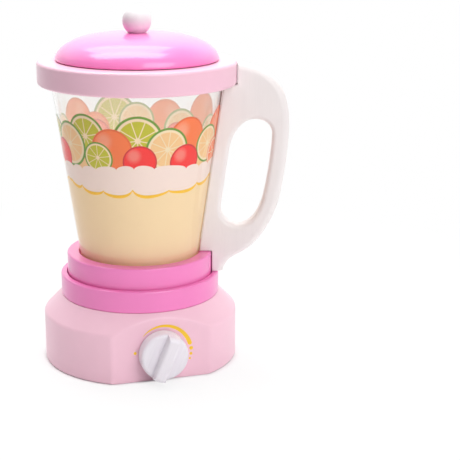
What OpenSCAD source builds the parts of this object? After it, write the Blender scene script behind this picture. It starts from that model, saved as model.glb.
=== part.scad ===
// Toy blender: a round wooden base with a clicking dial, a lift-off jug with a
// clear cup, a flat board handle and two turned rings, and a lift-off domed lid.
// Z is up, the base rests on z = 0, the dial faces -Y and the jug stands on the Z axis.

/* [Base block] */
// Diameter of the round base block
base_d = 125; // [118:1:140]
// Height of the straight side, below the sloping shoulder
base_side_h = 31.4; // [29:0.2:34]
// Height of the whole base block
base_h = 42.9; // [41:0.1:48]
// Rounding where the side turns into the shoulder
shoulder_round = 3.5; // [1:0.5:6]
// Bevel round the bottom edge
foot_bevel = 0.6; // [0.2:0.1:1.5]
// Distance from the centre line to the flat that carries the dial
flat_dist = 53.9; // [50:0.1:58]

/* [Mechanism pocket] */
// Half width of the pocket routed into the underside
pocket_half_w = 29; // [27:0.5:33]
// Distance from the centre line to the back wall of the pocket
pocket_back = 30; // [27:0.5:33]
// Corner bevel of the pocket
pocket_bevel = 6; // [3:0.5:8]
// Depth of the pocket
pocket_depth = 34; // [32:0.1:36]
// Wood left between the pocket and the flat
flat_wall = 17; // [14:0.5:19]
// Diameter of the plate that closes the pocket
plate_d = 94; // [92:0.5:100]
// Thickness of that plate
plate_t = 3.5; // [2.5:0.1:5]
// Gap round the plate
plate_gap = 0.2; // [0.1:0.05:0.5]
// Radius of the circle that the four plate screws are on
plate_screw_r = 41; // [40.5:0.1:42]
// Length of a plate screw
plate_screw_l = 10; // [8:0.5:12]
// How far its head is sunk below the plate's face
plate_screw_sunk = 0.4; // [0.2:0.1:0.8]

/* [Seat ring] */
// Diameter of the ring that the jug stands in
seat_d = 102.2; // [100:0.2:110]
// Height of that ring
seat_h = 13.8; // [11:0.1:18]
// Depth of its round recess
seat_depth = 5; // [3:0.5:7]
// Gap round the jug's ring in the recess
seat_gap = 0.5; // [0.3:0.1:1]
// Rounding of the turned edges
edge_round = 1.2; // [0.5:0.1:2]
// Radius of the circle that the three seat screws are on
seat_screw_r = 20; // [15:0.5:24]
// How far a seat screw reaches into the seat ring
seat_screw_bite = 6.6; // [5:0.1:8]

/* [Dial] */
// Height of the dial's axis above the floor
dial_z = 17.7; // [17:0.1:19]
// Diameter of the dial
dial_d = 30; // [26:0.5:32]
// Thickness of the dial's disc
dial_t = 9; // [7:0.5:11]
// Rounding of the disc's front edge
dial_round = 2; // [1:0.1:3]
// Width of the grip across the dial
grip_w = 7.6; // [6:0.1:10]
// Height of the grip above the disc
grip_h = 6.5; // [4:0.1:9]
// Rounding along the grip's top
grip_round = 1.6; // [0.5:0.1:2.5]
// Rounding at the grip's two ends
grip_end_round = 3.5; // [1:0.1:5]
// How far the grip leans clockwise from upright
grip_lean = 22; // [0:1:45]
// Diameter of the dowel that the dial turns on
shaft_d = 8; // [6:0.5:10]
// How deep that dowel sits in the dial
shaft_bite = 6; // [4:0.5:7]
// Radial clearance of the turning dowel
shaft_play = 0.05; // [0.02:0.01:0.1]
// Diameter of the thin washer behind the dial
washer_d = 16; // [13:0.5:22]
// Thickness of that washer
washer_t = 0.6; // [0.4:0.1:1.2]

/* [Click mechanism] */
// Radius of the notched wheel
wheel_r = 12; // [10.5:0.1:12]
// Thickness of the notched wheel
wheel_t = 5; // [4:0.5:7]
// Number of notches, one per click
wheel_notches = 12; // [8:1:14]
// Running gap beside a turning piece
run_gap = 0.2; // [0.1:0.05:0.3]
// Thickness of the spring strip
spring_t = 0.4; // [0.3:0.1:0.6]
// Gap between the wheel's rim and the strip
spring_gap = 0.7; // [0.5:0.1:1]
// Outer radius of the bent nose that clicks into the notches
nose_r = 1.8; // [1.5:0.1:2]
// Gap between the nose and its notch
nose_gap = 0.25; // [0.15:0.05:0.4]
// Length of the strip below the dial's axis
spring_down = 9; // [6:0.5:11]
// Width of the block that holds the strip
block_w = 9; // [7:0.5:9.5]
// Depth of that block
block_depth = 10; // [8:0.5:14]
// Height of the block's lower face above the dial's axis
block_low = 5; // [4:0.5:6]

/* [Jug] */
// Turn of the jug on its seat, as it stands
jug_turn = -18.5; // [-60:0.5:60]
// Diameter of the jug's lower ring
ring_d = 93.6; // [90:0.2:98]
// Height of that ring above the seat ring
ring_show = 13.5; // [10:0.1:18]
// Gap under a piece that rests
rest_gap = 0.1; // [0.05:0.05:0.2]
// Depth of the recess that the cup stands in
ring_recess = 10.2; // [8:0.1:12]
// Gap round the cup at the ring's rim
ring_cup_gap = 0.8; // [0.5:0.1:1.2]
// Outer radius of the cup at its foot, before the rounding
cup_foot_r = 37.1; // [34:0.1:38]
// How much the cup's radius grows per millimetre of height
cup_flare = 0.1435; // [0.12:0.001:0.15]
// Wall of the clear cup
cup_wall = 1.6; // [1.2:0.1:2.2]
// Floor of the clear cup
cup_floor = 2; // [1.5:0.1:3]
// Outer rounding at the cup's foot
cup_round = 4; // [3:0.5:6]
// Thickness of the printed film inside the cup
film_t = 0.3; // [0.2:0.05:0.5]
// Gap between the film and the cup
film_gap = 0.05; // [0.02:0.01:0.1]
// Height of the film's lower edge above the cup's floor
film_up = 3; // [2.5:0.5:6]

/* [Collar] */
// Height of the collar's underside above the seat ring
collar_up = 121.7; // [110:0.1:130]
// Diameter of the collar
collar_d = 125; // [122:1:132]
// Height of the collar
collar_h = 14.6; // [13:0.1:18]
// Rounding of the collar's outer edges
collar_round = 2; // [1:0.1:4]
// Depth of the groove that takes the cup's rim
rim_groove = 5.6; // [5:0.1:7]
// Gap round the cup's rim
rim_gap = 0.3; // [0.2:0.05:0.5]
// Diameter of the jug's mouth
mouth_d = 94; // [88:0.5:96]

/* [Handle] */
// Thickness of the handle board
handle_t = 12; // [10:0.5:16]
// Rounding of the board's outer edges
handle_round = 4.5; // [2:0.1:4.8]
// Rounding of the finger slot's edges
slot_round = 3; // [1:0.1:4]
// Gap between the board and the rings that it is notched round
notch_gap = 0.5; // [0.3:0.1:0.8]
// Reach of the grip from the centre line
grip_reach = 95.5; // [90:0.5:110]
// Height of that farthest point above the seat ring
grip_reach_up = 95.3; // [88:0.5:100]
// Reach of the board where the grip starts to curve in
elbow_reach = 91; // [86:0.5:93]
// Height of that place above the seat ring
elbow_up = 53.8; // [48:0.5:60]
// Reach of the heel, where the board curves back out
heel_reach = 64.6; // [61:0.2:68]
// Height of the heel above the seat ring
heel_up = 11.8; // [9:0.2:14]
// Reach of the foot that stands on the seat ring
foot_reach = 54.2; // [52:0.2:57]
// How far the top of the board lies below the top of the collar
handle_drop = 0.6; // [0:0.1:3]
// Width of wood between the cup and the finger slot
slot_inset = 9.6; // [7:0.2:14]
// Width of the grip
grip_bar = 10.6; // [8:0.2:14]
// Height of the slot's lower end above the seat ring
slot_low_up = 31.2; // [28:0.2:36]
// Distance from the slot's upper end to the top of the board
slot_top_down = 35.8; // [30:0.2:44]
// Diameter of the two handle dowels
handle_dowel_d = 4; // [3:0.5:5]
// Clearance round glued dowels and screws
glue_gap = 0.03; // [0.01:0.01:0.05]

/* [Lid] */
// Diameter of the domed lid
lid_d = 102.3; // [98:0.1:115]
// Height of the dome
lid_h = 16.3; // [12:0.1:24]
// Shadow gap between the lid and the collar
lid_gap = 0.4; // [0.2:0.1:0.6]
// Depth of the plug under the lid
plug_h = 8; // [5:0.5:9]
// Gap round the plug in the jug's mouth
plug_gap = 0.5; // [0.3:0.1:1]
// Diameter of the knob
knob_d = 18; // [14:0.5:24]
// Height of the knob's middle above the top of the dome
knob_up = 7.3; // [5.5:0.1:8]
// Diameter of the knob's dowel
knob_dowel_d = 5; // [4:0.5:6]
// How far that dowel reaches into the dome, and into the knob
knob_dowel_bite = 6; // [4:0.5:7]

/* [Hidden] */
$fn = 96;

// Cuts run this far past the faces that they open
past = 1;
light_pink = [0.95, 0.76, 0.84];
bright_pink = [0.96, 0.52, 0.75];
lid_pink = [1.0, 0.60, 0.86];
white_paint = [0.93, 0.90, 0.90];
bare_wood = [0.87, 0.74, 0.56];
steel = [0.72, 0.73, 0.75];

base_r = base_d / 2;
pocket_roof = base_h - pocket_depth;
plate_r = plate_d / 2;
seat_r = seat_d / 2;
seat_top = base_h + seat_h;
seat_floor = seat_top - seat_depth;

// Wood screws: shank, countersunk head and pan head
screw_r = 1.5;
csk_r = 3;
csk_h = 1.7;
pan_r = 3;
pan_h = 2;
small_screw_r = 1.1;
small_pan_r = 1.8;
small_pan_h = 1.4;
small_screw_l = 6.5;

// Along the dial's axis, outwards from the flat
shaft_r = shaft_d / 2;
dial_back = washer_t + run_gap;
dial_face = dial_back + dial_t;
shaft_out = dial_back + shaft_bite;
wheel_near = -flat_wall - run_gap;
wheel_far = wheel_near - wheel_t;
shaft_in = wheel_far + run_gap;
wheel_washer_r = 6;
wheel_washer_t = 1;
wheel_screw_l = 9;

// Across the dial's axis, at the spring
strip_x = wheel_r + spring_gap;
block_x = strip_x + spring_t;
nose_x = strip_x + spring_t / 2;
block_up = pocket_depth - dial_z;
strip_up = block_up - 1;
strip_w = wheel_t - 2 * run_gap;
first_screw_up = block_low + 2;
spring_screw_ups = [first_screw_up, first_screw_up + 2 * small_pan_r + run_gap];

// Up the jug
ring_r = ring_d / 2;
ring_low = seat_floor + rest_gap;
ring_top = seat_top + ring_show;
cup_low = ring_top - ring_recess;
cup_slope = sqrt(1 + cup_flare * cup_flare);
collar_r = collar_d / 2;
collar_low = seat_top + collar_up;
collar_top = collar_low + collar_h;
groove_top = collar_low + rim_groove;
cup_top = groove_top - rim_gap;
mouth_r = mouth_d / 2;

// Outer radius of the cup at height z
function cup_r(z) = cup_foot_r + cup_flare * (z - cup_low);
ring_bore_r = cup_r(ring_top) + ring_cup_gap;
groove_r = cup_r(cup_top) + rim_gap;
film_low = cup_low + cup_floor + film_up;
film_top = cup_top - rim_gap;

// Up the lid
lid_r = lid_d / 2;
lid_low = collar_top + lid_gap;
lid_top = lid_low + lid_h;
plug_r = mouth_r - plug_gap;
knob_r = knob_d / 2;
knob_z = lid_top + knob_up;
// Exponents of the dome's outline: across, then up
dome_across = 3.3;
dome_up = 1.65;

// The handle board, in the plane of reach and height
handle_top = collar_top - handle_drop;
foot_low = seat_top + rest_gap;
notch_u = ring_r + notch_gap;
notch_z = ring_top + notch_gap;
collar_u = collar_r + notch_gap;
slot_low = seat_top + slot_low_up;
slot_top = handle_top - slot_top_down;
slot_middle = [(cup_r(slot_low) + grip_reach) / 2, (slot_low + slot_top) / 2];
board_middle = [collar_u + 3, slot_top - 6];
foot_dowel_z = (seat_top + ring_top) / 2;
foot_dowel_u = [ring_bore_r + 1.6, foot_reach - 2.4];
top_dowel_u = (groove_r + collar_r) / 2;
top_dowel_z = [collar_low - 8, collar_low + 8];
handle_dowel_r = handle_dowel_d / 2;

// Points of an arc, centre c, radius r, from angle a to angle b
function arc(c, r, a, b, n = 6) = [
    for (i = [0:n])
        let (t = a + (b - a) * i / n)
            c + r * [cos(t), sin(t)]
];

// Points of a cubic curve, without its last one
function curve(p, q, r, s, n = 8) = [
    for (i = [0:n - 1])
        let (t = i / n, w = 1 - t)
            w * w * w * p + 3 * w * w * t * q + 3 * w * t * t * r + t * t * t * s
];

// Outward normal at each point of a closed outline that runs counterclockwise
function normals(p) = [
    for (i = [0:len(p) - 1])
        let (n = len(p), t = p[(i + 1) % n] - p[(i + n - 1) % n])
            [t[1], -t[0]] / norm(t)
];

// Levels through a board as [place in the thickness, move outwards]: both edges are
// quarter rounds of radius r, which lean in (lean = -1) on a board and out (lean = 1) on a slot
function levels(t, r, lean, n = 3) = concat(
    [for (i = [0:n]) [-t / 2 + r * (1 - cos(90 * i / n)), lean * r * (1 - sin(90 * i / n))]],
    [for (i = [n:-1:0]) [t / 2 - r * (1 - cos(90 * i / n)), lean * r * (1 - sin(90 * i / n))]]
);

// A solid through the outline p at the given levels, standing in the XZ plane. At each
// level every point of the outline is moved along its own direction in out. The two flat
// faces are fans round the point c, from which the whole outline can be seen.
module through(p, out, c, steps) {
    n = len(p);
    m = len(steps);
    rings = [
        for (s = steps)
            for (i = [0:n - 1])
                let (q = p[i] + s[1] * out[i])
                    [q[0], s[0], q[1]]
    ];
    middles = [[c[0], steps[0][0], c[1]], [c[0], steps[m - 1][0], c[1]]];
    sides = [
        for (k = [0:m - 2])
            for (i = [0:n - 1])
                let (a = k * n + i, b = k * n + (i + 1) % n)
                    each [[a, b + n, a + n], [a, b, b + n]]
    ];
    faces = [
        for (i = [0:n - 1])
            let (j = (i + 1) % n)
                each [[m * n, j, i], [m * n + 1, (m - 1) * n + i, (m - 1) * n + j]]
    ];
    polyhedron(concat(rings, middles), concat(sides, faces));
}

module on_dial_axis() {
    translate([0, -flat_dist, dial_z])
        rotate([90, 0, 0])
            children();
}

// A countersunk wood screw that points up from its head at z = 0
module csk_screw(l, gap = 0) {
    cylinder(h = csk_h, r1 = csk_r + gap, r2 = screw_r + gap);
    cylinder(h = l + gap, r = screw_r + gap);
}

// A pan head screw that points up, with its head below z = 0
module pan_screw(l, r, head_r, head_h, gap = 0) {
    translate([0, 0, -head_h])
        cylinder(h = head_h, r = head_r);
    cylinder(h = l + gap, r = r + gap);
}

// Outline of a turned ring: outer radius r, bore b, from z = low to z = high, edges rounded
module ring_outline(r, b, low, high, low_round, high_round, bore_round) {
    polygon(concat(
        [[b, low]],
        arc([r - low_round, low + low_round], low_round, -90, 0),
        arc([r - high_round, high - high_round], high_round, 0, 90),
        arc([b + bore_round, high - bore_round], bore_round, 90, 180)
    ));
}

module base_housing() {
    color(light_pink)
        difference() {
            rotate_extrude()
                base_outline();
            translate([-base_r, -base_d - flat_dist, -past])
                cube([base_d, base_d, base_h + 2 * past]);
            pocket();
            translate([0, 0, -past])
                cylinder(h = plate_t + past, r = plate_r + plate_gap);
            plate_screw_places()
                csk_screw(plate_screw_l, glue_gap);
            seat_screw_places()
                csk_screw(pocket_roof + past, glue_gap);
            on_dial_axis()
                translate([0, 0, -flat_wall - past])
                    cylinder(h = flat_wall + 2 * past, r = shaft_r + shaft_play);
        }
}

module base_outline() {
    slope = atan2(base_h - base_side_h, base_r - seat_r);
    polygon(concat(
        [[0, 0], [base_r - foot_bevel, 0], [base_r, foot_bevel]],
        arc([base_r - shoulder_round, base_side_h - shoulder_round * tan((90 - slope) / 2)],
            shoulder_round, 0, 90 - slope),
        [[seat_r, base_h], [0, base_h]]
    ));
}

module pocket() {
    front = flat_dist - flat_wall;
    w = pocket_half_w;
    b = pocket_bevel;
    linear_extrude(pocket_depth)
        polygon([[-w, b - front], [b - w, -front], [w - b, -front], [w, b - front],
            [w, pocket_back - b], [w - b, pocket_back], [b - w, pocket_back], [-w, pocket_back - b]]);
}

module plate_screw_places() {
    for (a = [0:90:270])
        rotate([0, 0, a])
            translate([plate_screw_r, 0, plate_screw_sunk])
                children();
}

module seat_screw_places() {
    for (a = [90:120:330])
        rotate([0, 0, a])
            translate([seat_screw_r, 0, pocket_depth])
                children();
}

module bottom_plate() {
    color(bare_wood)
        difference() {
            cylinder(h = plate_t, r = plate_r);
            plate_screw_places()
                csk_screw(plate_screw_l, glue_gap);
            plate_screw_places()
                translate([0, 0, -plate_screw_sunk - past])
                    cylinder(h = plate_screw_sunk + past, r = csk_r + glue_gap);
        }
}

module plate_screws() {
    color(steel)
        plate_screw_places()
            csk_screw(plate_screw_l);
}

module seat_ring() {
    color(bright_pink)
        difference() {
            rotate_extrude()
                ring_outline(seat_r, 0, base_h, seat_top, foot_bevel, edge_round, 0);
            translate([0, 0, seat_floor])
                cylinder(h = seat_depth + past, r = ring_r + seat_gap);
            seat_screw_places()
                csk_screw(pocket_roof + seat_screw_bite, glue_gap);
        }
}

module seat_screws() {
    color(steel)
        seat_screw_places()
            csk_screw(pocket_roof + seat_screw_bite);
}

module dial_washer() {
    color(white_paint)
        on_dial_axis()
            difference() {
                cylinder(h = washer_t, r = washer_d / 2);
                translate([0, 0, -past])
                    cylinder(h = washer_t + 2 * past, r = shaft_r + run_gap);
            }
}

module dial_knob() {
    r = dial_d / 2;
    color(white_paint)
        on_dial_axis()
            difference() {
                union() {
                    rotate_extrude()
                        polygon(concat([[0, dial_back], [r, dial_back]],
                            arc([r - dial_round, dial_face - dial_round], dial_round, 0, 90),
                            [[0, dial_face]]));
                    rotate([0, 0, -grip_lean])
                        grip(r);
                }
                translate([0, 0, dial_back - past])
                    cylinder(h = shaft_bite + run_gap + past, r = shaft_r + glue_gap);
            }
}

// The ridge across the dial: a bar with a rounded top, cut to the disc's outline
module grip(r) {
    top = dial_face + grip_h;
    low = dial_face - dial_round - 1;
    intersection() {
        rotate([90, 0, 0])
            linear_extrude(2 * r, center = true)
                polygon(concat([[-grip_w / 2, low], [grip_w / 2, low]],
                    arc([grip_w / 2 - grip_round, top - grip_round], grip_round, 0, 90),
                    arc([grip_round - grip_w / 2, top - grip_round], grip_round, 90, 180)));
        rotate_extrude()
            polygon(concat([[0, low], [r - 0.2, low]],
                arc([r - 0.2 - grip_end_round, top - grip_end_round], grip_end_round, 0, 90),
                [[0, top]]));
    }
}

module dial_shaft() {
    color(bare_wood)
        on_dial_axis()
            difference() {
                translate([0, 0, shaft_in])
                    cylinder(h = shaft_out - shaft_in, r = shaft_r);
                translate([0, 0, shaft_in - past])
                    cylinder(h = wheel_screw_l + past, r = screw_r + glue_gap);
            }
}

module click_wheel() {
    color("gainsboro")
        on_dial_axis()
            difference() {
                translate([0, 0, wheel_far])
                    cylinder(h = wheel_t, r = wheel_r);
                translate([0, 0, wheel_far - past])
                    cylinder(h = wheel_t + 2 * past, r = shaft_r + glue_gap);
                for (k = [0:wheel_notches - 1])
                    rotate([0, 0, 360 * k / wheel_notches])
                        translate([nose_x, 0, wheel_far - past])
                            cylinder(h = wheel_t + 2 * past, r = nose_r + nose_gap);
            }
}

module wheel_washer() {
    color(steel)
        on_dial_axis()
            translate([0, 0, wheel_far - wheel_washer_t])
                difference() {
                    cylinder(h = wheel_washer_t, r = wheel_washer_r);
                    translate([0, 0, -past])
                        cylinder(h = wheel_washer_t + 2 * past, r = screw_r + glue_gap);
                }
}

module wheel_screw() {
    color(steel)
        on_dial_axis()
            translate([0, 0, wheel_far - wheel_washer_t])
                pan_screw(wheel_screw_l, screw_r, pan_r, pan_h);
}

// The leaf spring: a flat strip whose bent nose drops into the wheel's notches
module click_spring() {
    color(steel)
        on_dial_axis()
            translate([0, 0, wheel_far + run_gap])
                difference() {
                    union() {
                        translate([strip_x, -spring_down, 0])
                            cube([spring_t, spring_down + strip_up, strip_w]);
                        translate([nose_x, 0, 0])
                            cylinder(h = strip_w, r = nose_r);
                    }
                    translate([nose_x, 0, -past])
                        cylinder(h = strip_w + 2 * past, r = nose_r - spring_t);
                    translate([block_x, -2 * nose_r, -past])
                        cube([2 * nose_r, 4 * nose_r, strip_w + 2 * past]);
                    spring_screw_places()
                        cylinder(h = small_screw_l, r = small_screw_r + glue_gap, center = true);
                }
}

// Along the spring's screws, from the middle of the strip's near face
module spring_screw_places() {
    for (up = spring_screw_ups)
        translate([strip_x, up, strip_w / 2])
            rotate([0, 90, 0])
                children();
}

module spring_block() {
    color(bare_wood)
        on_dial_axis()
            difference() {
                translate([block_x, block_low, -flat_wall - block_depth])
                    cube([block_w, block_up - block_low, block_depth]);
                translate([0, 0, wheel_far + run_gap])
                    spring_screw_places()
                        cylinder(h = small_screw_l + glue_gap, r = small_screw_r + glue_gap);
            }
}

module spring_screws() {
    color(steel)
        on_dial_axis()
            translate([0, 0, wheel_far + run_gap])
                spring_screw_places()
                    pan_screw(small_screw_l, small_screw_r, small_pan_r, small_pan_h);
}

module jug_ring() {
    color(bright_pink)
        difference() {
            rotate_extrude()
                ring_outline(ring_r, 0, ring_low, ring_top, foot_bevel, edge_round, 0);
            translate([0, 0, cup_low])
                cylinder(h = ring_recess + past, r = ring_bore_r);
            handle_dowel_places(glue_gap);
        }
}

// Outline of one face of the cup: foot radius r, foot height z, rounding q, up to the rim
function cup_face(r, z, q) = concat(
    [[0, z]],
    arc([r + cup_flare * q - cup_slope * q, z + q], q, -90, -atan(cup_flare)),
    [[r + cup_flare * (cup_top - z), cup_top]]
);

module jug_cup() {
    inner_r = cup_r(cup_low + cup_floor) - cup_wall * cup_slope;
    color("white", 0.35)
        rotate_extrude()
            difference() {
                polygon(concat(cup_face(cup_foot_r, cup_low, cup_round), [[0, cup_top]]));
                polygon(concat(cup_face(inner_r, cup_low + cup_floor, cup_round - cup_wall),
                    [[inner_r + cup_flare * (cup_top + past - cup_low - cup_floor), cup_top + past],
                        [0, cup_top + past]]));
            }
}

// The rolled film with the print, which lines the cup
module print_film() {
    function film_r(z) = cup_r(z) - (cup_wall + film_gap) * cup_slope;
    color("moccasin", 0.8)
        rotate_extrude()
            polygon([[film_r(film_low) - film_t, film_low], [film_r(film_low), film_low],
                [film_r(film_top), film_top], [film_r(film_top) - film_t, film_top]]);
}

module jug_collar() {
    color(light_pink)
        difference() {
            rotate_extrude()
                ring_outline(collar_r, mouth_r, collar_low, collar_top,
                    collar_round, collar_round, edge_round);
            translate([0, 0, collar_low - past])
                cylinder(h = rim_groove + past, r = groove_r);
            handle_dowel_places(glue_gap);
        }
}

// The board's outer edge, which is rounded: from the foot, out round the grip, to the shoulder
function outer_edge() =
    let (
        shoulder = [collar_u, handle_top],
        reach = [grip_reach, seat_top + grip_reach_up],
        elbow = [elbow_reach, seat_top + elbow_up],
        heel = [heel_reach, seat_top + heel_up],
        foot = [foot_reach, foot_low]
    )
    concat(
        curve(foot, foot + [0.4, 4.2], heel - [7, 3.4], heel, 5),
        curve(heel, heel + [14, 6.8], elbow - [2.8, 16], elbow, 8),
        curve(elbow, elbow + [1.9, 12], reach - [0, 16], reach, 4),
        curve(reach, reach + [0, 29.5], shoulder + [19.5, -3.9], shoulder, 12),
        [shoulder]
    );

// The board's inner edge, which is sharp: notched under the collar, along the cup and round the ring
function inner_edge() = [
    [collar_u, collar_low],
    [cup_r(collar_low) + notch_gap, collar_low],
    [cup_r(notch_z) + notch_gap, notch_z],
    [notch_u, notch_z],
    [notch_u, foot_low]
];

// Outline of the finger slot, counterclockwise: its left side keeps its distance from the cup
function slot_outline() =
    let (
        left_low = [cup_r(slot_low + 13) + slot_inset, slot_low + 13],
        left_top = [cup_r(slot_top - 19) + slot_inset, slot_top - 19],
        right_low = [elbow_reach - grip_bar, seat_top + elbow_up],
        right_top = [grip_reach - grip_bar, seat_top + grip_reach_up - 6],
        low = [(left_low[0] + right_low[0]) / 2 - 2.5, slot_low],
        top = [(left_top[0] + right_top[0]) / 2 + 2.5, slot_top]
    )
    concat(
        curve(low, low + [9, 0], right_low - [2.2, 11.5], right_low, 7),
        curve(right_low, right_low + [2, 10], right_top - [0.2, 9], right_top, 3),
        curve(right_top, right_top + [0.2, 7.2], top + [6.5, 0], top, 6),
        curve(top, top - [7.5, 0], left_top + [1.8, 10.5], left_top, 6),
        curve(left_top, left_top - [1.4, 10], left_low + [1.4, 10], left_low, 2),
        curve(left_low, left_low - [1.2, 8], low - [6.5, 0], low, 6)
    );

module handle() {
    color(white_paint)
        difference() {
            rotate([0, 0, jug_turn])
                difference() {
                    board();
                    finger_slot();
                }
            handle_dowel_places(glue_gap);
        }
}

// The rounded edge leans in across its own line, but at its two ends along the straight edges there
module board() {
    outer = outer_edge();
    inner = inner_edge();
    lean = normals(outer);
    last = len(outer) - 1;
    out = [for (i = [0:last]) i == 0 ? [1, 0] : i == last ? [0, 1] : lean[i]];
    through(concat(outer, inner), concat(out, 0 * inner), board_middle, levels(handle_t, handle_round, -1));
}

module finger_slot() {
    outline = slot_outline();
    near = [[-handle_t / 2 - past, slot_round]];
    far = [[handle_t / 2 + past, slot_round]];
    through(outline, normals(outline), slot_middle, concat(near, levels(handle_t, slot_round, 1), far));
}

// The dowels of the handle: one in the lower ring, one up into the collar
module handle_dowel_places(gap = 0) {
    rotate([0, 0, jug_turn]) {
        translate([foot_dowel_u[0] - gap, 0, foot_dowel_z])
            rotate([0, 90, 0])
                cylinder(h = foot_dowel_u[1] - foot_dowel_u[0] + 2 * gap, r = handle_dowel_r + gap);
        translate([top_dowel_u, 0, top_dowel_z[0] - gap])
            cylinder(h = top_dowel_z[1] - top_dowel_z[0] + 2 * gap, r = handle_dowel_r + gap);
    }
}

module handle_dowels() {
    color(bare_wood)
        handle_dowel_places();
}

module lid_dome() {
    n = 24;
    color(lid_pink)
        difference() {
            rotate_extrude()
                polygon(concat([[0, lid_low]],
                    [for (i = [0:n - 1])
                        [lid_r * pow(cos(90 * i / n), 2 / dome_across),
                            lid_low + lid_h * pow(sin(90 * i / n), 2 / dome_up)]],
                    [[0, lid_top]]));
            knob_dowel_place(glue_gap);
        }
}

module lid_plug() {
    color(lid_pink)
        rotate_extrude()
            polygon(concat([[0, lid_low - plug_h]],
                arc([plug_r - edge_round, lid_low - plug_h + edge_round], edge_round, -90, 0),
                [[plug_r, lid_low], [0, lid_low]]));
}

module knob_dowel_place(gap = 0) {
    translate([0, 0, lid_top - knob_dowel_bite - gap])
        cylinder(h = 2 * (knob_dowel_bite + gap), r = knob_dowel_d / 2 + gap);
}

module knob_dowel() {
    color(bare_wood)
        knob_dowel_place();
}

module lid_knob() {
    color(white_paint)
        difference() {
            translate([0, 0, knob_z])
                sphere(r = knob_r);
            translate([-knob_r, -knob_r, knob_z - knob_d - knob_up])
                cube([knob_d, knob_d, knob_d]);
            knob_dowel_place(glue_gap);
        }
}

base_housing();
bottom_plate();
plate_screws();
seat_ring();
seat_screws();
dial_washer();
spring_block();
click_spring();
spring_screws();
dial_knob();
dial_shaft();
click_wheel();
wheel_washer();
wheel_screw();
jug_ring();
jug_cup();
print_film();
jug_collar();
handle();
handle_dowels();
lid_dome();
lid_plug();
knob_dowel();
lid_knob();
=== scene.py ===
import math
from collections import namedtuple

import bmesh
import bpy
from bpy.props import FloatProperty, FloatVectorProperty, IntProperty, PointerProperty
from bpy.types import Operator, Panel, PropertyGroup
from mathutils import Matrix, Vector
from mathutils.geometry import tessellate_polygon


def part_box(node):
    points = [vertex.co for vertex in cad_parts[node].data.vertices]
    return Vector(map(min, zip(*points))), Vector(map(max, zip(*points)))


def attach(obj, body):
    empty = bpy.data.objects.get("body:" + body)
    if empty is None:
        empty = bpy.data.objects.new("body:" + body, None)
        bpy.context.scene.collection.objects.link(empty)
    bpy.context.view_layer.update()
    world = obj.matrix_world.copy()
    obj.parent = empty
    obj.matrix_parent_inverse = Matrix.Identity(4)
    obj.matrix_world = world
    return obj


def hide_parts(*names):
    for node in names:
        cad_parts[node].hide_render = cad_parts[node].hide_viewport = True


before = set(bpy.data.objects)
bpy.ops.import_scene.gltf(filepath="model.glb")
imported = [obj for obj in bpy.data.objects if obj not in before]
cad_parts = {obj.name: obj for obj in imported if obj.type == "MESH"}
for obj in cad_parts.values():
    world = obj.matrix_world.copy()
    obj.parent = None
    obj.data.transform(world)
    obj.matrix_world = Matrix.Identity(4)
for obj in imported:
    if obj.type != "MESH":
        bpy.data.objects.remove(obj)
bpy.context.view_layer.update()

bl_info = {
    "name": "Toy Blender",
    "version": (1, 0, 0),
    "blender": (4, 5, 0),
    "location": "3D Viewport > Sidebar > Toy Blender",
    "description": "Builds the painted wood, clear cup, print and dial of a toy blender",
    "category": "Add Mesh",
}

MM = 0.001
TURN = 2 * math.pi
QUARTER = math.pi / 2
Corner = namedtuple("Corner", "x y z")

# Lengths in millimetres: the play round a screw, how far a cutter goes past a face, the depth
# of the seat screws' holes in the seat ring and of the upright dowel's holes in the collar and
# the board, and the wood left at the ends of the level dowel, in the board and in the ring.
FIT = 0.03
PAST = 1.0
SEAT_SCREW_DEPTH = 6.65
COLLAR_DOWEL_DEPTH = 8.03
FOOT_DOWEL_BACK = 2.37
RING_DOWEL_BACK = 1.57
# Faces round a cutter for a screw and round one for a thin dowel.
SCREW_SIDES = 24
DOWEL_SIDES = 32

FLOAT, VECTOR, COLOUR = "NodeSocketFloat", "NodeSocketVector", "NodeSocketColor"
GEOMETRY, MATERIAL = "NodeSocketGeometry", "NodeSocketMaterial"
SOCKETS = {float: FLOAT, int: "NodeSocketInt", tuple: COLOUR}
GREY = (0.8, 0.8, 0.8, 1.0)


# ---------------------------------------------------------------- properties

def screen_colour(red, green, blue):
    """Linear colour of the 0 to 255 values that a screen shows."""
    return tuple(c / 255 / 12.92 if c <= 10 else ((c / 255 + 0.055) / 1.055) ** 2.4
                 for c in (red, green, blue))


def length(name, description, millimetres):
    """A length property, given in millimetres and kept in metres."""
    return FloatProperty(name=name, description=description, default=millimetres * MM, min=0.0,
                         precision=5, unit="LENGTH", subtype="DISTANCE")


def angle(name, description, degrees):
    """An angle property, given in degrees."""
    return FloatProperty(name=name, description=description, default=math.radians(degrees),
                         unit="ROTATION", subtype="ANGLE")


def share(name, description, value, high=1.0):
    """A plain number, such as a share or a roughness."""
    return FloatProperty(name=name, description=description, default=value, min=0.0, max=high,
                         subtype="FACTOR" if high == 1.0 else "NONE")


def colour(name, description, red, green, blue):
    """A colour property, given as a screen shows it."""
    return FloatVectorProperty(name=name, description=description, size=3, min=0.0, max=1.0,
                               default=screen_colour(red, green, blue), subtype="COLOR")


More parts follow.
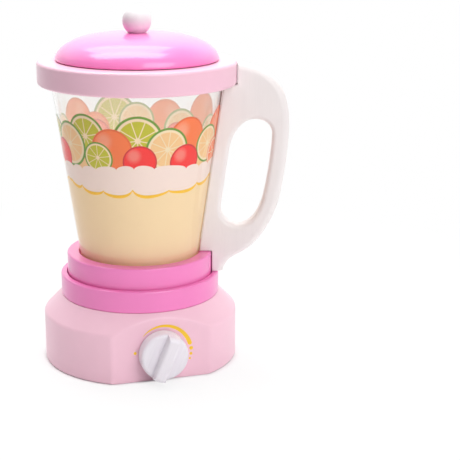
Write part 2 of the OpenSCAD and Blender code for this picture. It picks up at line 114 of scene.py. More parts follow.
class ToyBaseSizes(PropertyGroup):
    """Sizes of the base block and its underside."""

    side_height: length("Side Height", "Height of the straight side below the shoulder", 31.4)
    shoulder_round: length("Shoulder Rounding", "Rounding between the side and the shoulder", 3.5)
    foot_bevel: length("Foot Rounding", "Rounding of the bottom edge", 0.9)
    flat_distance: length("Flat Distance", "Distance from the centre line to the flat front", 53.9)
    flat_soften: length("Flat Edge Softness", "Depth of the sanding on the edges of the flat", 0.8)
    pocket_half: length("Pocket Half Width", "Half width of the pocket for the mechanism", 29.0)
    pocket_back: length("Pocket Back", "Distance from the centre line to the pocket's back", 30.0)
    pocket_bevel: length("Pocket Bevel", "Corner bevel of the pocket", 6.0)
    pocket_depth: length("Pocket Depth", "Depth of the pocket", 34.0)
    flat_wall: length("Front Wall", "Wood between the pocket and the flat", 17.0)
    plate_gap: length("Plate Gap", "Gap round the bottom plate", 0.2)
    bore: length("Dial Bore", "Radius of the bore for the dial's dowel", 4.05)
    screw_circle: length("Screw Circle", "Radius of the circle of the plate's screws", 41.0)
    seat_screw_circle: length("Seat Screw Circle", "Radius of the circle of the seat screws", 20.0)
    head_radius: length("Head Radius", "Radius of a countersunk head", 3.0)
    head_depth: length("Head Depth", "Depth of a countersunk head", 1.7)
    shank_radius: length("Shank Radius", "Radius of a screw's shank", 1.5)
    sunk: length("Sunk", "How far the heads lie below the plate's face", 0.4)
    screw_length: length("Screw Length", "Length of a plate screw", 10.0)
    recess: length("Cross Recess", "Width of the slots of the cross recess", 0.9)


class ToyRingSizes(PropertyGroup):
    """Sizes of the turned rings."""

    edge: length("Edge Rounding", "Rounding of the turned edges", 1.2)
    low_edge: length("Lower Edge", "Rounding of the lower edges", 0.9)
    inner_edge: length("Inner Edge", "Rounding at the rims of the recesses", 0.5)
    seat_depth: length("Seat Depth", "Depth of the seat's recess", 5.0)
    seat_gap: length("Seat Gap", "Gap between the jug's ring and the seat", 0.5)
    recess: length("Cup Recess", "Depth of the recess that the cup stands in", 10.2)
    cup_gap: length("Cup Gap", "Gap round the cup at the ring's rim", 0.8)
    collar_edge: length("Collar Edge", "Rounding of the collar's outer edges", 2.0)
    groove: length("Rim Groove", "Depth of the groove for the cup's rim", 5.6)
    rim_gap: length("Rim Gap", "Gap round the cup's rim", 0.3)
    mouth: length("Mouth Radius", "Radius of the jug's mouth", 47.0)


class ToyDialSizes(PropertyGroup):
    """Sizes of the dial and the marks beside it."""

    axis_height: length("Axis Height", "Height of the dial's axis above the floor", 17.7)
    radius: length("Dial Radius", "Radius of the dial's disc", 15.0)
    back: length("Dial Back", "Distance from the flat to the dial's back", 0.8)
    face: length("Dial Face", "Distance from the flat to the dial's face", 9.8)
    edge: length("Dial Edge", "Rounding of the disc's front edge", 2.0)
    grip_width: length("Grip Width", "Width of the grip", 7.6)
    grip_top: length("Grip Top", "Distance from the flat to the top of the grip", 16.3)
    grip_edge: length("Grip Edge", "Rounding along the grip's top", 1.6)
    grip_end: length("Grip End", "Rounding at the grip's ends", 3.5)
    grip_lean: angle("Grip Lean", "How far the grip leans from upright", 22.0)
    sanding: length("Sanding", "Rounding of the small edges", 0.35)
    dowel_radius: length("Dowel Hole Radius", "Radius of the hole for the dowel", 4.03)
    dowel_depth: length("Dowel Hole Depth", "Depth of the hole for the dowel", 6.2)
    mark_radius: length("Arc Radius", "Radius of the painted arc at its thin end", 16.5)
    mark_grow: length("Arc Growth", "How much that radius grows along the arc", 2.2)
    mark_width: length("Arc Width", "Greatest width of the painted arc", 2.9)


class ToyJugSizes(PropertyGroup):
    """Sizes of the clear cup and its liner."""

    turn: angle("Jug Turn", "Turn of the jug on its seat, as it stands", -18.5)
    foot_radius: length("Foot Radius", "Outer radius of the cup at its foot", 37.1)
    flare: share("Flare", "Growth of the cup's radius with its height", 0.1435)
    wall: length("Wall", "Wall of the cup", 1.6)
    floor: length("Floor", "Floor of the cup", 2.0)
    rounding: length("Foot Rounding", "Outer rounding at the cup's foot", 4.0)
    rim_round: length("Rim Rounding", "Rounding of the cup's rim", 0.4)
    film: length("Film", "Thickness of the printed liner", 0.3)
    film_gap: length("Film Gap", "Gap between the liner and the cup", 0.05)
    film_press: length("Film Press", "How far the cup's wall is brought in to meet the liner", 0.07)


class ToyHandleSizes(PropertyGroup):
    """Sizes of the handle board."""

    thickness: length("Thickness", "Thickness of the board", 12.0)
    outer_round: length("Outer Rounding", "Rounding of the outer edge", 4.5)
    slot_round: length("Slot Rounding", "Rounding of the finger slot's edge", 3.0)
    inner_round: length("Inner Rounding", "Sanding of the notched inner edge", 0.8)
    gap: length("Notch Gap", "Gap between the board and the rings", 0.2)
    reach: length("Reach", "Reach of the grip from the centre line", 95.5)
    reach_up: length("Reach Height", "Height of that place above the seat", 95.3)
    elbow: length("Elbow Reach", "Reach of the board at the elbow", 91.0)
    elbow_up: length("Elbow Height", "Height of the elbow above the seat", 53.8)
    heel: length("Heel Reach", "Reach of the heel", 64.6)
    heel_up: length("Heel Height", "Height of the heel above the seat", 11.8)
    foot: length("Foot Reach", "Reach of the foot", 54.2)
    slot_inset: length("Slot Inset", "Wood between the cup and the slot", 9.6)
    bar: length("Grip Width", "Width of the grip", 10.6)
    slot_up: length("Slot Height", "Height of the slot's lower end above the seat", 31.2)
    slot_down: length("Slot Drop", "Distance from the slot to the top of the board", 35.8)
    dowel_radius: length("Dowel Hole Radius", "Radius of the dowel holes", 2.03)


class ToyLidSizes(PropertyGroup):
    """Sizes of the lid and its knob."""

    across: share("Dome Across", "Exponent of the dome's outline across", 3.3, 8.0)
    up: share("Dome Up", "Exponent of the dome's outline upwards", 1.65, 8.0)
    under_edge: length("Under Edge", "Rounding of the dome's lower edge", 0.8)
    plug_edge: length("Stopper Edge", "Rounding of the stopper's lower edge", 1.2)
    knob_radius: length("Knob Radius", "Radius of the ball knob", 9.0)
    dowel_radius: length("Dowel Hole Radius", "Radius of the holes for the knob's dowel", 2.53)
    dowel_depth: length("Dowel Hole Depth", "Depth of each of these holes", 6.03)
    around: IntProperty(name="Steps Around", description="Faces round the dome", default=192,
                        min=24)


class ToyPrintLook(PropertyGroup):
    """Places and colours of the print on the liner."""

    foam_top: length("Foam Top", "Height of the foam's upper edge", 134.0)
    foam_low: length("Foam Bottom", "Height of the foam's lower edge", 120.5)
    fill_top: length("Fill Top", "Height up to which the gaps between fruit are filled", 150.0)
    cream: colour("Cream", "Colour of the drink", 255, 231, 184)
    foam: colour("Foam", "Colour of the foam", 253, 237, 228)
    line: colour("Line", "Colour of the line under the foam", 255, 205, 20)
    lime: colour("Lime", "Flesh of the lime wheels", 200, 202, 30)
    lime_rind: colour("Lime Rind", "Rind of the lime wheels", 104, 160, 36)
    pith: colour("Pith", "Pith of the wheels", 252, 234, 196)
    lemon: colour("Lemon", "Flesh of the lemon wheels", 250, 210, 148)
    lemon_rind: colour("Lemon Rind", "Rind of the lemon wheels", 240, 190, 84)
    apricot: colour("Apricot", "Colour of the apricots", 255, 128, 62)
    apricot_rind: colour("Apricot Edge", "Edge of the apricots", 240, 108, 52)
    berry: colour("Berry", "Colour of the berries", 254, 38, 34)
    berry_edge: colour("Berry Edge", "Edge of the berries", 214, 34, 40)
    pale: colour("Pale", "What the back of the print is mixed with", 255, 240, 222)
    pale_share: share("Pale Share", "How much of that the back of the print has", 0.42)
    glow_share: share("Glow", "Share of the light that comes through the ink, from the front", 0.24)
    back_glow: share("Back Glow", "Share of that light as seen from inside the cup", 0.8)


class ToyPaintColours(PropertyGroup):
    """Colours of the paints, woods and small parts."""

    # The base and the collar wear one paint: the base's colour is made a little lighter and the
    # collar's a little darker, as painted light and shade for the light that the floor throws back
    # onto the base.
    light_pink: colour("Light Pink", "Paint of the base", 249, 202, 219)
    collar_pink_shaded: colour("Collar Pink", "Paint of the collar", 242, 194, 212)
    bright_pink: colour("Bright Pink", "Paint of the two rings", 248, 131, 198)
    lid_pink: colour("Lid Pink", "Paint of the lid", 250, 129, 199)
    white: colour("White", "Paint of the handle and the dial's washer", 238, 231, 230)
    dial_white: colour("Dial White", "Paint of the dial", 240, 235, 242)
    knob_white: colour("Knob White", "Paint of the knob", 238, 236, 236)
    mark: colour("Mark", "Paint of the arc beside the dial", 254, 205, 32)
    wood: colour("Wood", "Bare beech of dowels and block", 226, 190, 146)
    wood_dark: colour("Wood Grain", "Darker streaks of the bare wood", 184, 136, 92)
    nylon: colour("Nylon", "Notched wheel", 232, 229, 220)
    steel: colour("Steel", "Leaf spring", 150, 154, 162)
    zinc: colour("Zinc", "Screws and washer", 188, 192, 198)


class ToyStageLook(PropertyGroup):
    """The lamps, the floor and the room's light."""

    room: share("Room Light", "Strength of the light from all round", 0.05, 4.0)
    behind: share("Light Behind", "Strength of the light from the pale wall behind", 1.15, 4.0)
    overhead: share("Overhead Light", "Strength of the light from above", 0.14, 4.0)
    key: share("Key Light", "Power of the large lamp in front at the right", 9.7, 400.0)
    top: share("Top Light", "Power of the wide lamp above the lid", 7.6, 400.0)
    strip: share("Strip Light", "Power of the lamp behind that the lid mirrors", 3.3, 400.0)
    mirrored: share("Mirrored Wall", "Added strength of the upper wall in reflections", 0.5, 4.0)
    floor_glow: share("Floor White", "Share of plain white in the floor for the camera", 0.78)


# ---------------------------------------------------------------- sizes and places

class InMm:
    """Reads the lengths of a property group in millimetres."""

    def __init__(self, group):
        self.group = group

    def __getattr__(self, name):
        return getattr(self.group, name) / MM


def box(name):
    """The low and the high corner of a CAD node, in millimetres."""
    return [Corner(*(part / MM for part in corner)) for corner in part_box(name)]


def dial_place(context):
    """From the dial's own axis, outwards from the flat, to its place on the base."""
    scene = context.scene
    return (Matrix.Translation((0, -scene.toy_base.flat_distance, scene.toy_dial.axis_height))
            @ Matrix.Rotation(QUARTER, 4, "X"))


def jug_place(context):
    """From the board's plane of reach and height to its place on the turned jug."""
    return Matrix.Rotation(context.scene.toy_jug.turn, 4, "Z")


def on_circle(count, first, radius, height=0.0):
    """Places on a circle round the axis, in mm, the first one at an angle in degrees."""
    return [Matrix.Rotation(math.radians(first + 360 / count * k), 4, "Z")
            @ Matrix.Translation((radius * MM, 0, height * MM)) for k in range(count)]


# ---------------------------------------------------------------- mesh helpers

def new_piece(name, bm):
    """An object of the bmesh's faces, in metres, linked to the scene."""
    mesh = bpy.data.meshes.new(name)
    bm.to_mesh(mesh)
    bm.free()
    piece = bpy.data.objects.new(name, mesh)
    bpy.context.scene.collection.objects.link(piece)
    return piece


def bake(piece):
    """Puts the result of the piece's modifiers in its mesh and removes them."""
    depsgraph = bpy.context.evaluated_depsgraph_get()
    mesh = bpy.data.meshes.new_from_object(
        piece.evaluated_get(depsgraph), preserve_all_data_layers=True, depsgraph=depsgraph)
    old = piece.data
    piece.modifiers.clear()
    piece.data = mesh
    bpy.data.meshes.remove(old)
    mesh.name = piece.name
    return piece


def grown(name, tree, values):
    """A piece made by a Geometry Nodes tree with these inputs; an empty one is an error."""
    piece = new_piece(name, bmesh.new())
    step = piece.modifiers.new("nodes", "NODES")
    step.node_group = tree
    for item in tree.interface.items_tree:
        if item.in_out == "INPUT" and item.name in values:
            step[item.identifier] = values[item.name]
    bake(piece)
    if not piece.data.polygons:
        raise RuntimeError(name + " came out empty")
    return piece


def combine(piece, others, operation="DIFFERENCE"):
    """Cuts the other solids out of the piece, or joins or meets it with them; removes them."""
    for other in others:
        step = piece.modifiers.new("cut", "BOOLEAN")
        step.operation = operation
        step.solver = "EXACT"
        step.object = other
    bake(piece)
    for other in others:
        mesh = other.data
        bpy.data.objects.remove(other)
        bpy.data.meshes.remove(mesh)
    return piece


def smooth(piece, degrees):
    """Smooth shading with sharp edges over the angle."""
    piece.data.shade_smooth()
    piece.data.set_sharp_from_angle(angle=math.radians(degrees))
    return piece


def shade(piece, degrees=32.0):
    """Smooth shading with sharp edges, and flat faces kept flat."""
    step = smooth(piece, degrees).modifiers.new("normals", "WEIGHTED_NORMAL")
    step.keep_sharp = True
    step.weight = 60
    return bake(piece)


def finish_piece(piece, body, slot_name, replaced, *materials):
    """Gives the piece its materials and its body, and hides the CAD node that it stands for;
    slot_name is not used.
    """
    if not piece.data.materials:
        for material in materials:
            piece.data.materials.append(material)
    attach(piece, body)
    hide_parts(replaced)


def rounded(corners, steps=6):
    """Outline through corners of (across, up, rounding), each turned to an arc."""
    outline = []
    for i, (across, up, radius) in enumerate(corners):
        here = Vector((across, up))
        if radius <= 0:
            outline.append(here)
            continue
        before = (Vector(corners[i - 1][:2]) - here).normalized()
        after = (Vector(corners[(i + 1) % len(corners)][:2]) - here).normalized()
        half = before.angle(after) / 2
        centre = here + (before + after).normalized() * radius / math.sin(half)
        start = here + before * radius / math.tan(half) - centre
        end = here + after * radius / math.tan(half) - centre
        turn = math.atan2(start.x * end.y - start.y * end.x, start.dot(end))
        for k in range(steps + 1):
            cos, sin = math.cos(turn * k / steps), math.sin(turn * k / steps)
            outline.append(centre + Vector((start.x * cos - start.y * sin,
                                            start.x * sin + start.y * cos)))
    return outline


def lathe(name, outline, around=192, face_material=None):
    """Turned solid: the outline of (radius, height) in mm runs counterclockwise."""
    bm = bmesh.new()
    rings = []
    for radius, height in outline:
        if radius < 1e-6:
            rings.append([bm.verts.new((0, 0, height * MM))])
            continue
        rings.append([bm.verts.new((radius * MM * math.cos(TURN * i / around),
                                    radius * MM * math.sin(TURN * i / around),
                                    height * MM)) for i in range(around)])
    closed = len(rings[0]) > 1 and len(rings[-1]) > 1
    pairs = list(zip(rings, rings[1:])) + ([(rings[-1], rings[0])] if closed else [])
    for number, (low, high) in enumerate(pairs):
        for i in range(around):
            j = (i + 1) % around
            corners = (low[i % len(low)], low[j % len(low)],
                       high[j % len(high)], high[i % len(high)])
            face = bm.faces.new(list(dict.fromkeys(corners)))
            if face_material:
                face.material_index = face_material[number]
    return new_piece(name, bm)


def rod(radius, low, high, around=64, tip=None):
    """A plain cutter along Z between two heights, in mm; tip is its radius at the top."""
    tip = radius if tip is None else tip
    return lathe("cutter", [(0, low), (radius, low), (tip, high), (0, high)], around)


def prism(points, low, high):
    """A plain cutter: a convex outline of (x, y) in mm between two heights."""
    bm = bmesh.new()
    rings = [[bm.verts.new((x * MM, y * MM, z * MM)) for x, y in points] for z in (low, high)]
    bm.faces.new(rings[0][::-1])
    bm.faces.new(rings[1])
    skin(bm, rings)
    return new_piece("cutter", bm)


def skin(bm, rings, inside=False):
    """Faces between neighbouring rings of vertices."""
    for near, far in zip(rings, rings[1:]):
        for i in range(len(near)):
            j = (i + 1) % len(near)
            corners = (near[i], near[j], far[j], far[i])
            bm.faces.new(corners[::-1] if inside else corners)


def move(piece, matrix):
    """Moves the piece's mesh and leaves its object at the origin."""
    piece.data.transform(matrix)
    return piece


def foot_dowel(context, start, end):
    """Cutter for the level dowel between the jug's ring and the foot of the board."""
    radius = context.scene.toy_handle.dowel_radius / MM
    height = (box("seat_ring")[1].z + box("jug_ring")[1].z) / 2
    return move(rod(radius, start, end, DOWEL_SIDES),
                jug_place(context) @ Matrix.Translation((0, 0, height * MM))
                @ Matrix.Rotation(QUARTER, 4, "Y"))


def collar_dowel(context, start, end):
    """Cutter for the upright dowel between the collar and the board."""
    radius = context.scene.toy_handle.dowel_radius / MM
    groove = box("jug_cup")[1].x + context.scene.toy_rings.rim_gap / MM
    reach = (groove + box("jug_collar")[1].x) / 2
    return move(rod(radius, start, end, DOWEL_SIDES),
                jug_place(context) @ Matrix.Translation((reach * MM, 0, 0)))


# ---------------------------------------------------------------- node helpers

class Nodes:
    """Short calls that lay out a node tree from left to right."""

    def __init__(self, tree):
        self.tree = tree
        self.count = 0

    def add(self, kind, *inputs, **settings):
        """A node with these settings and first inputs; None leaves an input as it is."""
        node = self.tree.nodes.new(kind)
        node.location = (200 * (self.count % 10), -260 * (self.count // 10))
        self.count += 1
        for key, value in settings.items():
            setattr(node, key, value)
        for socket, value in zip(node.inputs, inputs):
            if value is not None:
                self.put(socket, value)
        return node

    def put(self, socket, value):
        """Links an output to the socket, or sets the socket's own value."""
        if isinstance(value, bpy.types.NodeSocket):
            self.tree.links.new(value, socket)
        elif socket.type == "RGBA":
            socket.default_value = (*value[:3], 1.0)
        else:
            socket.default_value = value

    def fill(self, node, **values):
        """Sets inputs by their names, underscores for spaces; gives the first output."""
        for key, value in values.items():
            self.put(node.inputs[key.replace("_", " ")], value)
        return node.outputs[0]

    def group(self, name, **values):
        """Puts a node group in the tree with its own values; gives its outputs."""
        node = self.add("ShaderNodeGroup", node_tree=bpy.data.node_groups[name])
        self.fill(node, **values)
        return node.outputs

    def math(self, operation, *values):
        return self.add("ShaderNodeMath", *values, operation=operation).outputs[0]

    def plus(self, *values):
        return self.math("ADD", *values)

    def minus(self, *values):
        return self.math("SUBTRACT", *values)

    def times(self, *values):
        return self.math("MULTIPLY", *values)

    def over(self, *values):
        return self.math("DIVIDE", *values)

    def line(self, value, slope, start):
        """The value times the slope, plus the start."""
        return self.math("MULTIPLY_ADD", value, slope, start)

    def least(self, *values):
        return self.math("MINIMUM", *values)

    def most(self, *values):
        return self.math("MAXIMUM", *values)

    def measure(self, operation, *values):
        """A length, distance or dot product of vectors."""
        return self.add("ShaderNodeVectorMath", *values, operation=operation).outputs["Value"]

    def stretch(self, vector, by):
        return self.add("ShaderNodeVectorMath", vector, by, operation="MULTIPLY").outputs[0]

    def split(self, vector):
        return self.add("ShaderNodeSeparateXYZ", vector).outputs

    def join(self, x, y, z):
        return self.add("ShaderNodeCombineXYZ", x, y, z).outputs[0]

    def step(self, value, low, high):
        """Smooth from 0 at the low value to 1 at the high one."""
        node = self.add("ShaderNodeMapRange", value, low, high, interpolation_type="SMOOTHSTEP")
        return node.outputs[0]

    def noise(self, place, scale, detail, roughness):
        return self.add("ShaderNodeTexNoise", place, None, scale, detail, roughness).outputs[0]

    def mix(self, factor, a, b):
        """One colour to the other."""
        node = self.add("ShaderNodeMix", data_type="RGBA")
        for number, value in ((0, factor), (6, a), (7, b)):
            self.put(node.inputs[number], value)
        return node.outputs[2]

    def bump(self, height, strength, distance):
        node = self.add("ShaderNodeBump")
        return self.fill(node, Strength=strength, Distance=distance, Height=height)

    def blend(self, factor, a, b):
        """One shader to the other."""
        return self.add("ShaderNodeMixShader", factor, a, b).outputs[0]

    def clear(self, tint):
        return self.add("ShaderNodeBsdfTransparent", tint).outputs[0]

    def principled(self, **values):
        return self.fill(self.add("ShaderNodeBsdfPrincipled"), **values)


def new_group(name, inputs, outputs, kind="ShaderNodeTree"):
    """A node group; gives its Nodes, its input sockets and its output node's sockets.

    An input is named with its default, or with its socket type where it has none.
    """
    tree = bpy.data.node_groups.new(name, kind)
    for label, default in inputs.items():
        socket_type = default if isinstance(default, str) else SOCKETS[type(default)]
        socket = tree.interface.new_socket(name=label, in_out="INPUT", socket_type=socket_type)
        if socket_type != default:
            socket.default_value = default
    for label, socket_type in outputs.items():
        tree.interface.new_socket(name=label, in_out="OUTPUT", socket_type=socket_type)
    nodes = Nodes(tree)
    leave = tree.nodes.new("NodeGroupOutput")
    leave.location = (2200, 0)
    return nodes, nodes.add("NodeGroupInput").outputs, leave.inputs


def new_material(name):
    """An empty node material: gives it, its Nodes and the object's coordinates."""
    material = bpy.data.materials.new(name)
    material.use_nodes = True
    material.node_tree.nodes.clear()
    nodes = Nodes(material.node_tree)
    return material, nodes, nodes.add("ShaderNodeTexCoord").outputs["Object"]


def surfaced(material, nodes, shader):
    """Makes the shader the material's surface and gives the material."""
    nodes.put(nodes.add("ShaderNodeOutputMaterial").inputs["Surface"], shader)
    return material


# ---------------------------------------------------------------- shared node groups

def build_tone_group():
    """Faint cloudiness of a brushed or sprayed coat."""
    nodes, given, out = new_group(
        "coat_tone", {"Position": VECTOR, "Colour": GREY, "Amount": 0.03, "Scale": 60.0},
        {"Color": COLOUR})
    swing = nodes.line(nodes.noise(given["Position"], given["Scale"], 3.0, 0.6), 2.0, -1.0)
    value = nodes.line(swing, given["Amount"], 1.0)
    hue = nodes.add("ShaderNodeHueSaturation", 0.5, 1.0, value, 1.0, given["Colour"])
    nodes.put(out[0], hue.outputs[0])


def build_turning_group():
    """Fine rings that the turning tool leaves under the paint, round the Z axis."""
    nodes, given, out = new_group(
        "turning_rings", {"Position": VECTOR, "Spacing": 900.0}, {"Height": FLOAT})
    x, y, z = nodes.split(given["Position"])
    radius = nodes.math("SQRT", nodes.plus(nodes.times(x, x), nodes.times(y, y)))
    nodes.put(out[0], nodes.noise(nodes.join(radius, 0.0, z), given["Spacing"], 2.0, 0.5))


def build_peel_group():
    """The slight unevenness of a sprayed coat."""
    nodes, given, out = new_group(
        "paint_peel", {"Position": VECTOR, "Scale": 420.0}, {"Height": FLOAT})
    nodes.put(out[0], nodes.noise(given["Position"], given["Scale"], 2.0, 0.5))


def build_edge_group():
    """A mask over sharp outer edges, where the paint is made paler: partly a thinner coat on the
    rounded edge, partly a painted highlight along it.
    """
    nodes, given, out = new_group("worn_and_highlit_edges", {"Low": 0.52, "High": 0.62}, {"Mask": FLOAT})
    geometry = nodes.add("ShaderNodeNewGeometry")
    nodes.put(out[0], nodes.step(geometry.outputs["Pointiness"], given["Low"], given["High"]))


def build_grain_group():
    """Wood grain: long streaks along the local Z of the given position."""
    nodes, given, out = new_group(
        "wood_grain", {"Position": VECTOR, "Scale": 300.0, "Stretch": 0.04},
        {"Streaks": FLOAT, "Pores": FLOAT})
    place = nodes.stretch(given["Position"], nodes.join(1.0, 1.0, given["Stretch"]))
    fine = nodes.noise(place, nodes.times(given["Scale"], 4.5), 3.0, 0.6)
    nodes.put(out[0], nodes.noise(place, given["Scale"], 4.0, 0.6))
    nodes.put(out[1], nodes.step(fine, 0.50, 0.72))


def build_ring_cell_group():
    """Splits the band round the liner into equal cells, each with its own chance number.

    Across and Up are measured from the middle of the cell's own disc, in disc radii.
    """
    nodes, given, out = new_group(
        "cells_around",
        {"Turns": 0.0, "Up": 0.0, "Girth": 300.0, "Count": 10.0, "Shift": 0.0, "Middle": 150.0,
         "Lift": 2.0, "Radius": 12.0, "Spread": 0.1, "Seed": 1.0},
        {"Across": FLOAT, "Up": FLOAT, "Chance": FLOAT})
    place = nodes.line(given["Turns"], given["Count"], given["Shift"])
    cell = nodes.math("FLOOR", place)
    number = nodes.math("MODULO", nodes.plus(cell, given["Count"]), given["Count"])
    chance = nodes.add("ShaderNodeTexWhiteNoise", noise_dimensions="2D")
    nodes.fill(chance, Vector=nodes.join(number, given["Seed"], 0.0))
    parts = nodes.add("ShaderNodeSeparateColor", chance.outputs["Color"]).outputs
    sideways, lift, grow = (nodes.minus(part, 0.5) for part in parts)
    across = nodes.minus(nodes.math("FRACT", place), nodes.line(sideways, 0.16, 0.5))
    up = nodes.minus(nodes.minus(given["Up"], given["Middle"]), nodes.times(lift, given["Lift"]))
    radius = nodes.times(given["Radius"], nodes.line(grow, given["Spread"], 1.0))
    width = nodes.over(given["Girth"], given["Count"])
    nodes.put(out[0], nodes.over(nodes.times(across, width), radius))
    nodes.put(out[1], nodes.over(up, radius))
    nodes.put(out[2], chance.outputs["Value"])


def build_wheel_group():
    """A round slice with a rind, pale pith and wedges of flesh."""
    nodes, given, out = new_group(
        "sliced_wheel", {"Across": 0.0, "Up": 0.0, "Turn": 0.0, "Wedges": 9.0, "Flesh": GREY,
                         "Rind": GREY, "Pith": GREY}, {"Color": COLOUR, "Mask": FLOAT})
    distance = nodes.measure("LENGTH", nodes.join(given["Across"], given["Up"], 0.0))
    turn = nodes.plus(nodes.math("ARCTAN2", given["Up"], given["Across"]),
                      nodes.times(given["Turn"], TURN))
    wave = nodes.math("SINE", nodes.times(turn, nodes.times(given["Wedges"], 0.5)))
    wedge = nodes.step(nodes.times(nodes.math("ABSOLUTE", wave), distance), 0.05, 0.13)
    inside = nodes.times(nodes.step(distance, 0.80, 0.76), nodes.step(distance, 0.08, 0.14))
    flesh = nodes.mix(nodes.times(wedge, inside), given["Pith"], given["Flesh"])
    nodes.put(out[0], nodes.mix(nodes.step(distance, 0.87, 0.91), flesh, given["Rind"]))
    nodes.put(out[1], nodes.step(distance, 1.0, 0.97))


def build_whole_fruit_group():
    """A whole round fruit: a darker edge and a soft shine."""
    nodes, given, out = new_group(
        "round_fruit", {"Across": 0.0, "Up": 0.0, "Body": GREY, "Edge": GREY, "Shine": GREY},
        {"Color": COLOUR, "Mask": FLOAT})
    place = nodes.join(given["Across"], given["Up"], 0.0)
    distance = nodes.measure("LENGTH", place)
    from_shine = nodes.measure("DISTANCE", place, (-0.34, 0.38, 0.0))
    body = nodes.mix(nodes.times(nodes.step(from_shine, 0.55, 0.15), 0.28),
                     given["Body"], given["Shine"])
    nodes.put(out[0], nodes.mix(nodes.step(distance, 0.86, 0.94), body, given["Edge"]))
    nodes.put(out[1], nodes.step(distance, 1.0, 0.97))


def fruit_rows(look):
    """Rows of cells from the far one to the near one, each with its kinds of fruit.

    A kind is (wedges, flesh, edge, chance): no wedges make a whole fruit, and it fills the
    cells whose chance number is below its own and above that of the kind before it.
    """
    lime = (9.0, look.lime, look.lime_rind, 2.0)
    apricot = (look.apricot, look.apricot_rind)
    return (
        ({"Count": 9.0, "Shift": 0.15, "Middle": 150.5, "Lift": 7.0, "Radius": 14.6,
          "Spread": 0.2, "Seed": 3.0},
         ((9.0, look.lemon, look.lemon_rind, 0.40), (0, *apricot, 0.75), lime)),
        ({"Count": 9.0, "Shift": 0.55, "Middle": 143.5, "Lift": 5.0, "Radius": 13.4,
          "Spread": 0.25, "Seed": 8.0},
         ((0, *apricot, 0.42), (10.0, look.lemon, look.lime_rind, 0.78), lime)),
        ({"Count": 10.0, "Shift": 0.30, "Middle": 137.5, "Lift": 4.0, "Radius": 10.8,
          "Spread": 0.25, "Seed": 14.0},
         ((0, look.berry, look.berry_edge, 0.40), (8.0, *apricot, 0.66), lime)),
    )


def build_print_group(look):
    """The whole print round the liner: drink, foam with its line, and fruit above."""
    nodes, given, out = new_group(
        "liner_print", {"Position": VECTOR}, {"Color": COLOUR, "Opacity": FLOAT})
    soft = 0.12
    x, y, z = nodes.split(given["Position"])
    turns = nodes.over(nodes.math("ARCTAN2", y, x), TURN)
    up = nodes.over(z, MM)
    radius = nodes.measure("LENGTH", nodes.stretch(given["Position"], (1 / MM, 1 / MM, 0.0)))
    girth = nodes.times(radius, TURN)
    fill_top = look.fill_top / MM
    ink, cover = look.lemon, nodes.step(up, fill_top + 0.2, fill_top - 0.2)

    for sizes, kinds in fruit_rows(look):
        cell = nodes.group("cells_around", Turns=turns, Up=up, Girth=girth, **sizes)
        at = {"Across": cell["Across"], "Up": cell["Up"]}
        low = -1.0
        for wedges, flesh, edge, high in kinds:
            if wedges:
                fruit = nodes.group("sliced_wheel", Turn=cell["Chance"], Wedges=wedges, Flesh=flesh,
                                    Rind=edge, Pith=look.pith, **at)
            else:
                fruit = nodes.group("round_fruit", Body=flesh, Edge=edge,
                                    Shine=screen_colour(255, 226, 205), **at)
            chosen = nodes.times(nodes.math("GREATER_THAN", cell["Chance"], low),
                                 nodes.math("LESS_THAN", cell["Chance"], high))
            mask = nodes.times(fruit["Mask"], chosen)
            ink, cover = nodes.mix(mask, ink, fruit["Color"]), nodes.most(cover, mask)
            low = high

    def wave(count, shift):
        return nodes.math("SINE", nodes.line(turns, TURN * count, shift))

    uneven = nodes.line(wave(3.0, 1.0), 0.012, turns)
    uneven = nodes.line(wave(7.0, 0.4), 0.007, uneven)

    def bumps(count, shift):
        """Uneven half rounds round the liner, from 0 in the corners to 1 at their tops."""
        across = nodes.line(nodes.math("FRACT", nodes.line(uneven, count, shift)), 2.0, -1.0)
        return nodes.math("SQRT", nodes.minus(1.0, nodes.times(across, across)))

    rise = 2.6
    top = nodes.line(bumps(22.0, 0.3), rise, look.foam_top / MM - rise)
    top = nodes.line(wave(3.0, 0.6), 1.4, top)
    scallop = bumps(14.0, 0.1)
    low = nodes.line(scallop, -rise, look.foam_low / MM + rise)
    low = nodes.line(bumps(5.0, 0.45), -3.0, low)
    low = nodes.line(wave(2.0, 2.2), 2.0, low)
    drink = nodes.minus(low, nodes.line(scallop, 1.2, 0.9))
    for level, tint in ((top, look.foam), (low, look.line), (drink, look.cream)):
        mask = nodes.step(nodes.minus(level, up), -soft, soft)
        ink, cover = nodes.mix(mask, ink, tint), nodes.most(cover, mask)
    nodes.put(out[0], ink)
    nodes.put(out[1], cover)


def build_groups(look):
    """Makes every shader node group once; the print uses the ones before it."""
    for build in (build_tone_group, build_turning_group, build_peel_group, build_edge_group,
                  build_grain_group, build_ring_cell_group, build_wheel_group,
                  build_whole_fruit_group):
        build()
    build_print_group(look)


# ---------------------------------------------------------------- materials

def paint_surface(nodes, position, tint, roughness, gloss):
    """Satin paint on turned wood: cloudy tone, tool rings, spray texture and paler edges, the last
    partly a thinner coat and partly a painted highlight.
    """
    tone = nodes.group("coat_tone", Position=position, Colour=tint)["Color"]
    # The pale coat mixed in over the edges is partly worn-thin paint and partly a painted highlight
    # on the rounded edges.
    pale = nodes.group("coat_tone", Position=position, Colour=(1.0, 0.95, 0.97))["Color"]
    tone = nodes.mix(nodes.times(nodes.group("worn_and_highlit_edges")["Mask"], 0.16), tone, pale)
    turned = nodes.group("turning_rings", Position=position)["Height"]
    peel = nodes.group("paint_peel", Position=position)["Height"]
    return nodes.principled(
        Base_Color=tone, Roughness=nodes.line(peel, 0.10, roughness - 0.05),
        Normal=nodes.bump(nodes.line(turned, 0.5, peel), 0.5, 0.00004),
        Coat_Weight=gloss, Coat_Roughness=0.12)


def painted(name, tint, roughness, gloss):
    """A paint for turned pieces."""
    material, nodes, position = new_material(name)
    return surfaced(material, nodes, paint_surface(nodes, position, tint, roughness, gloss))


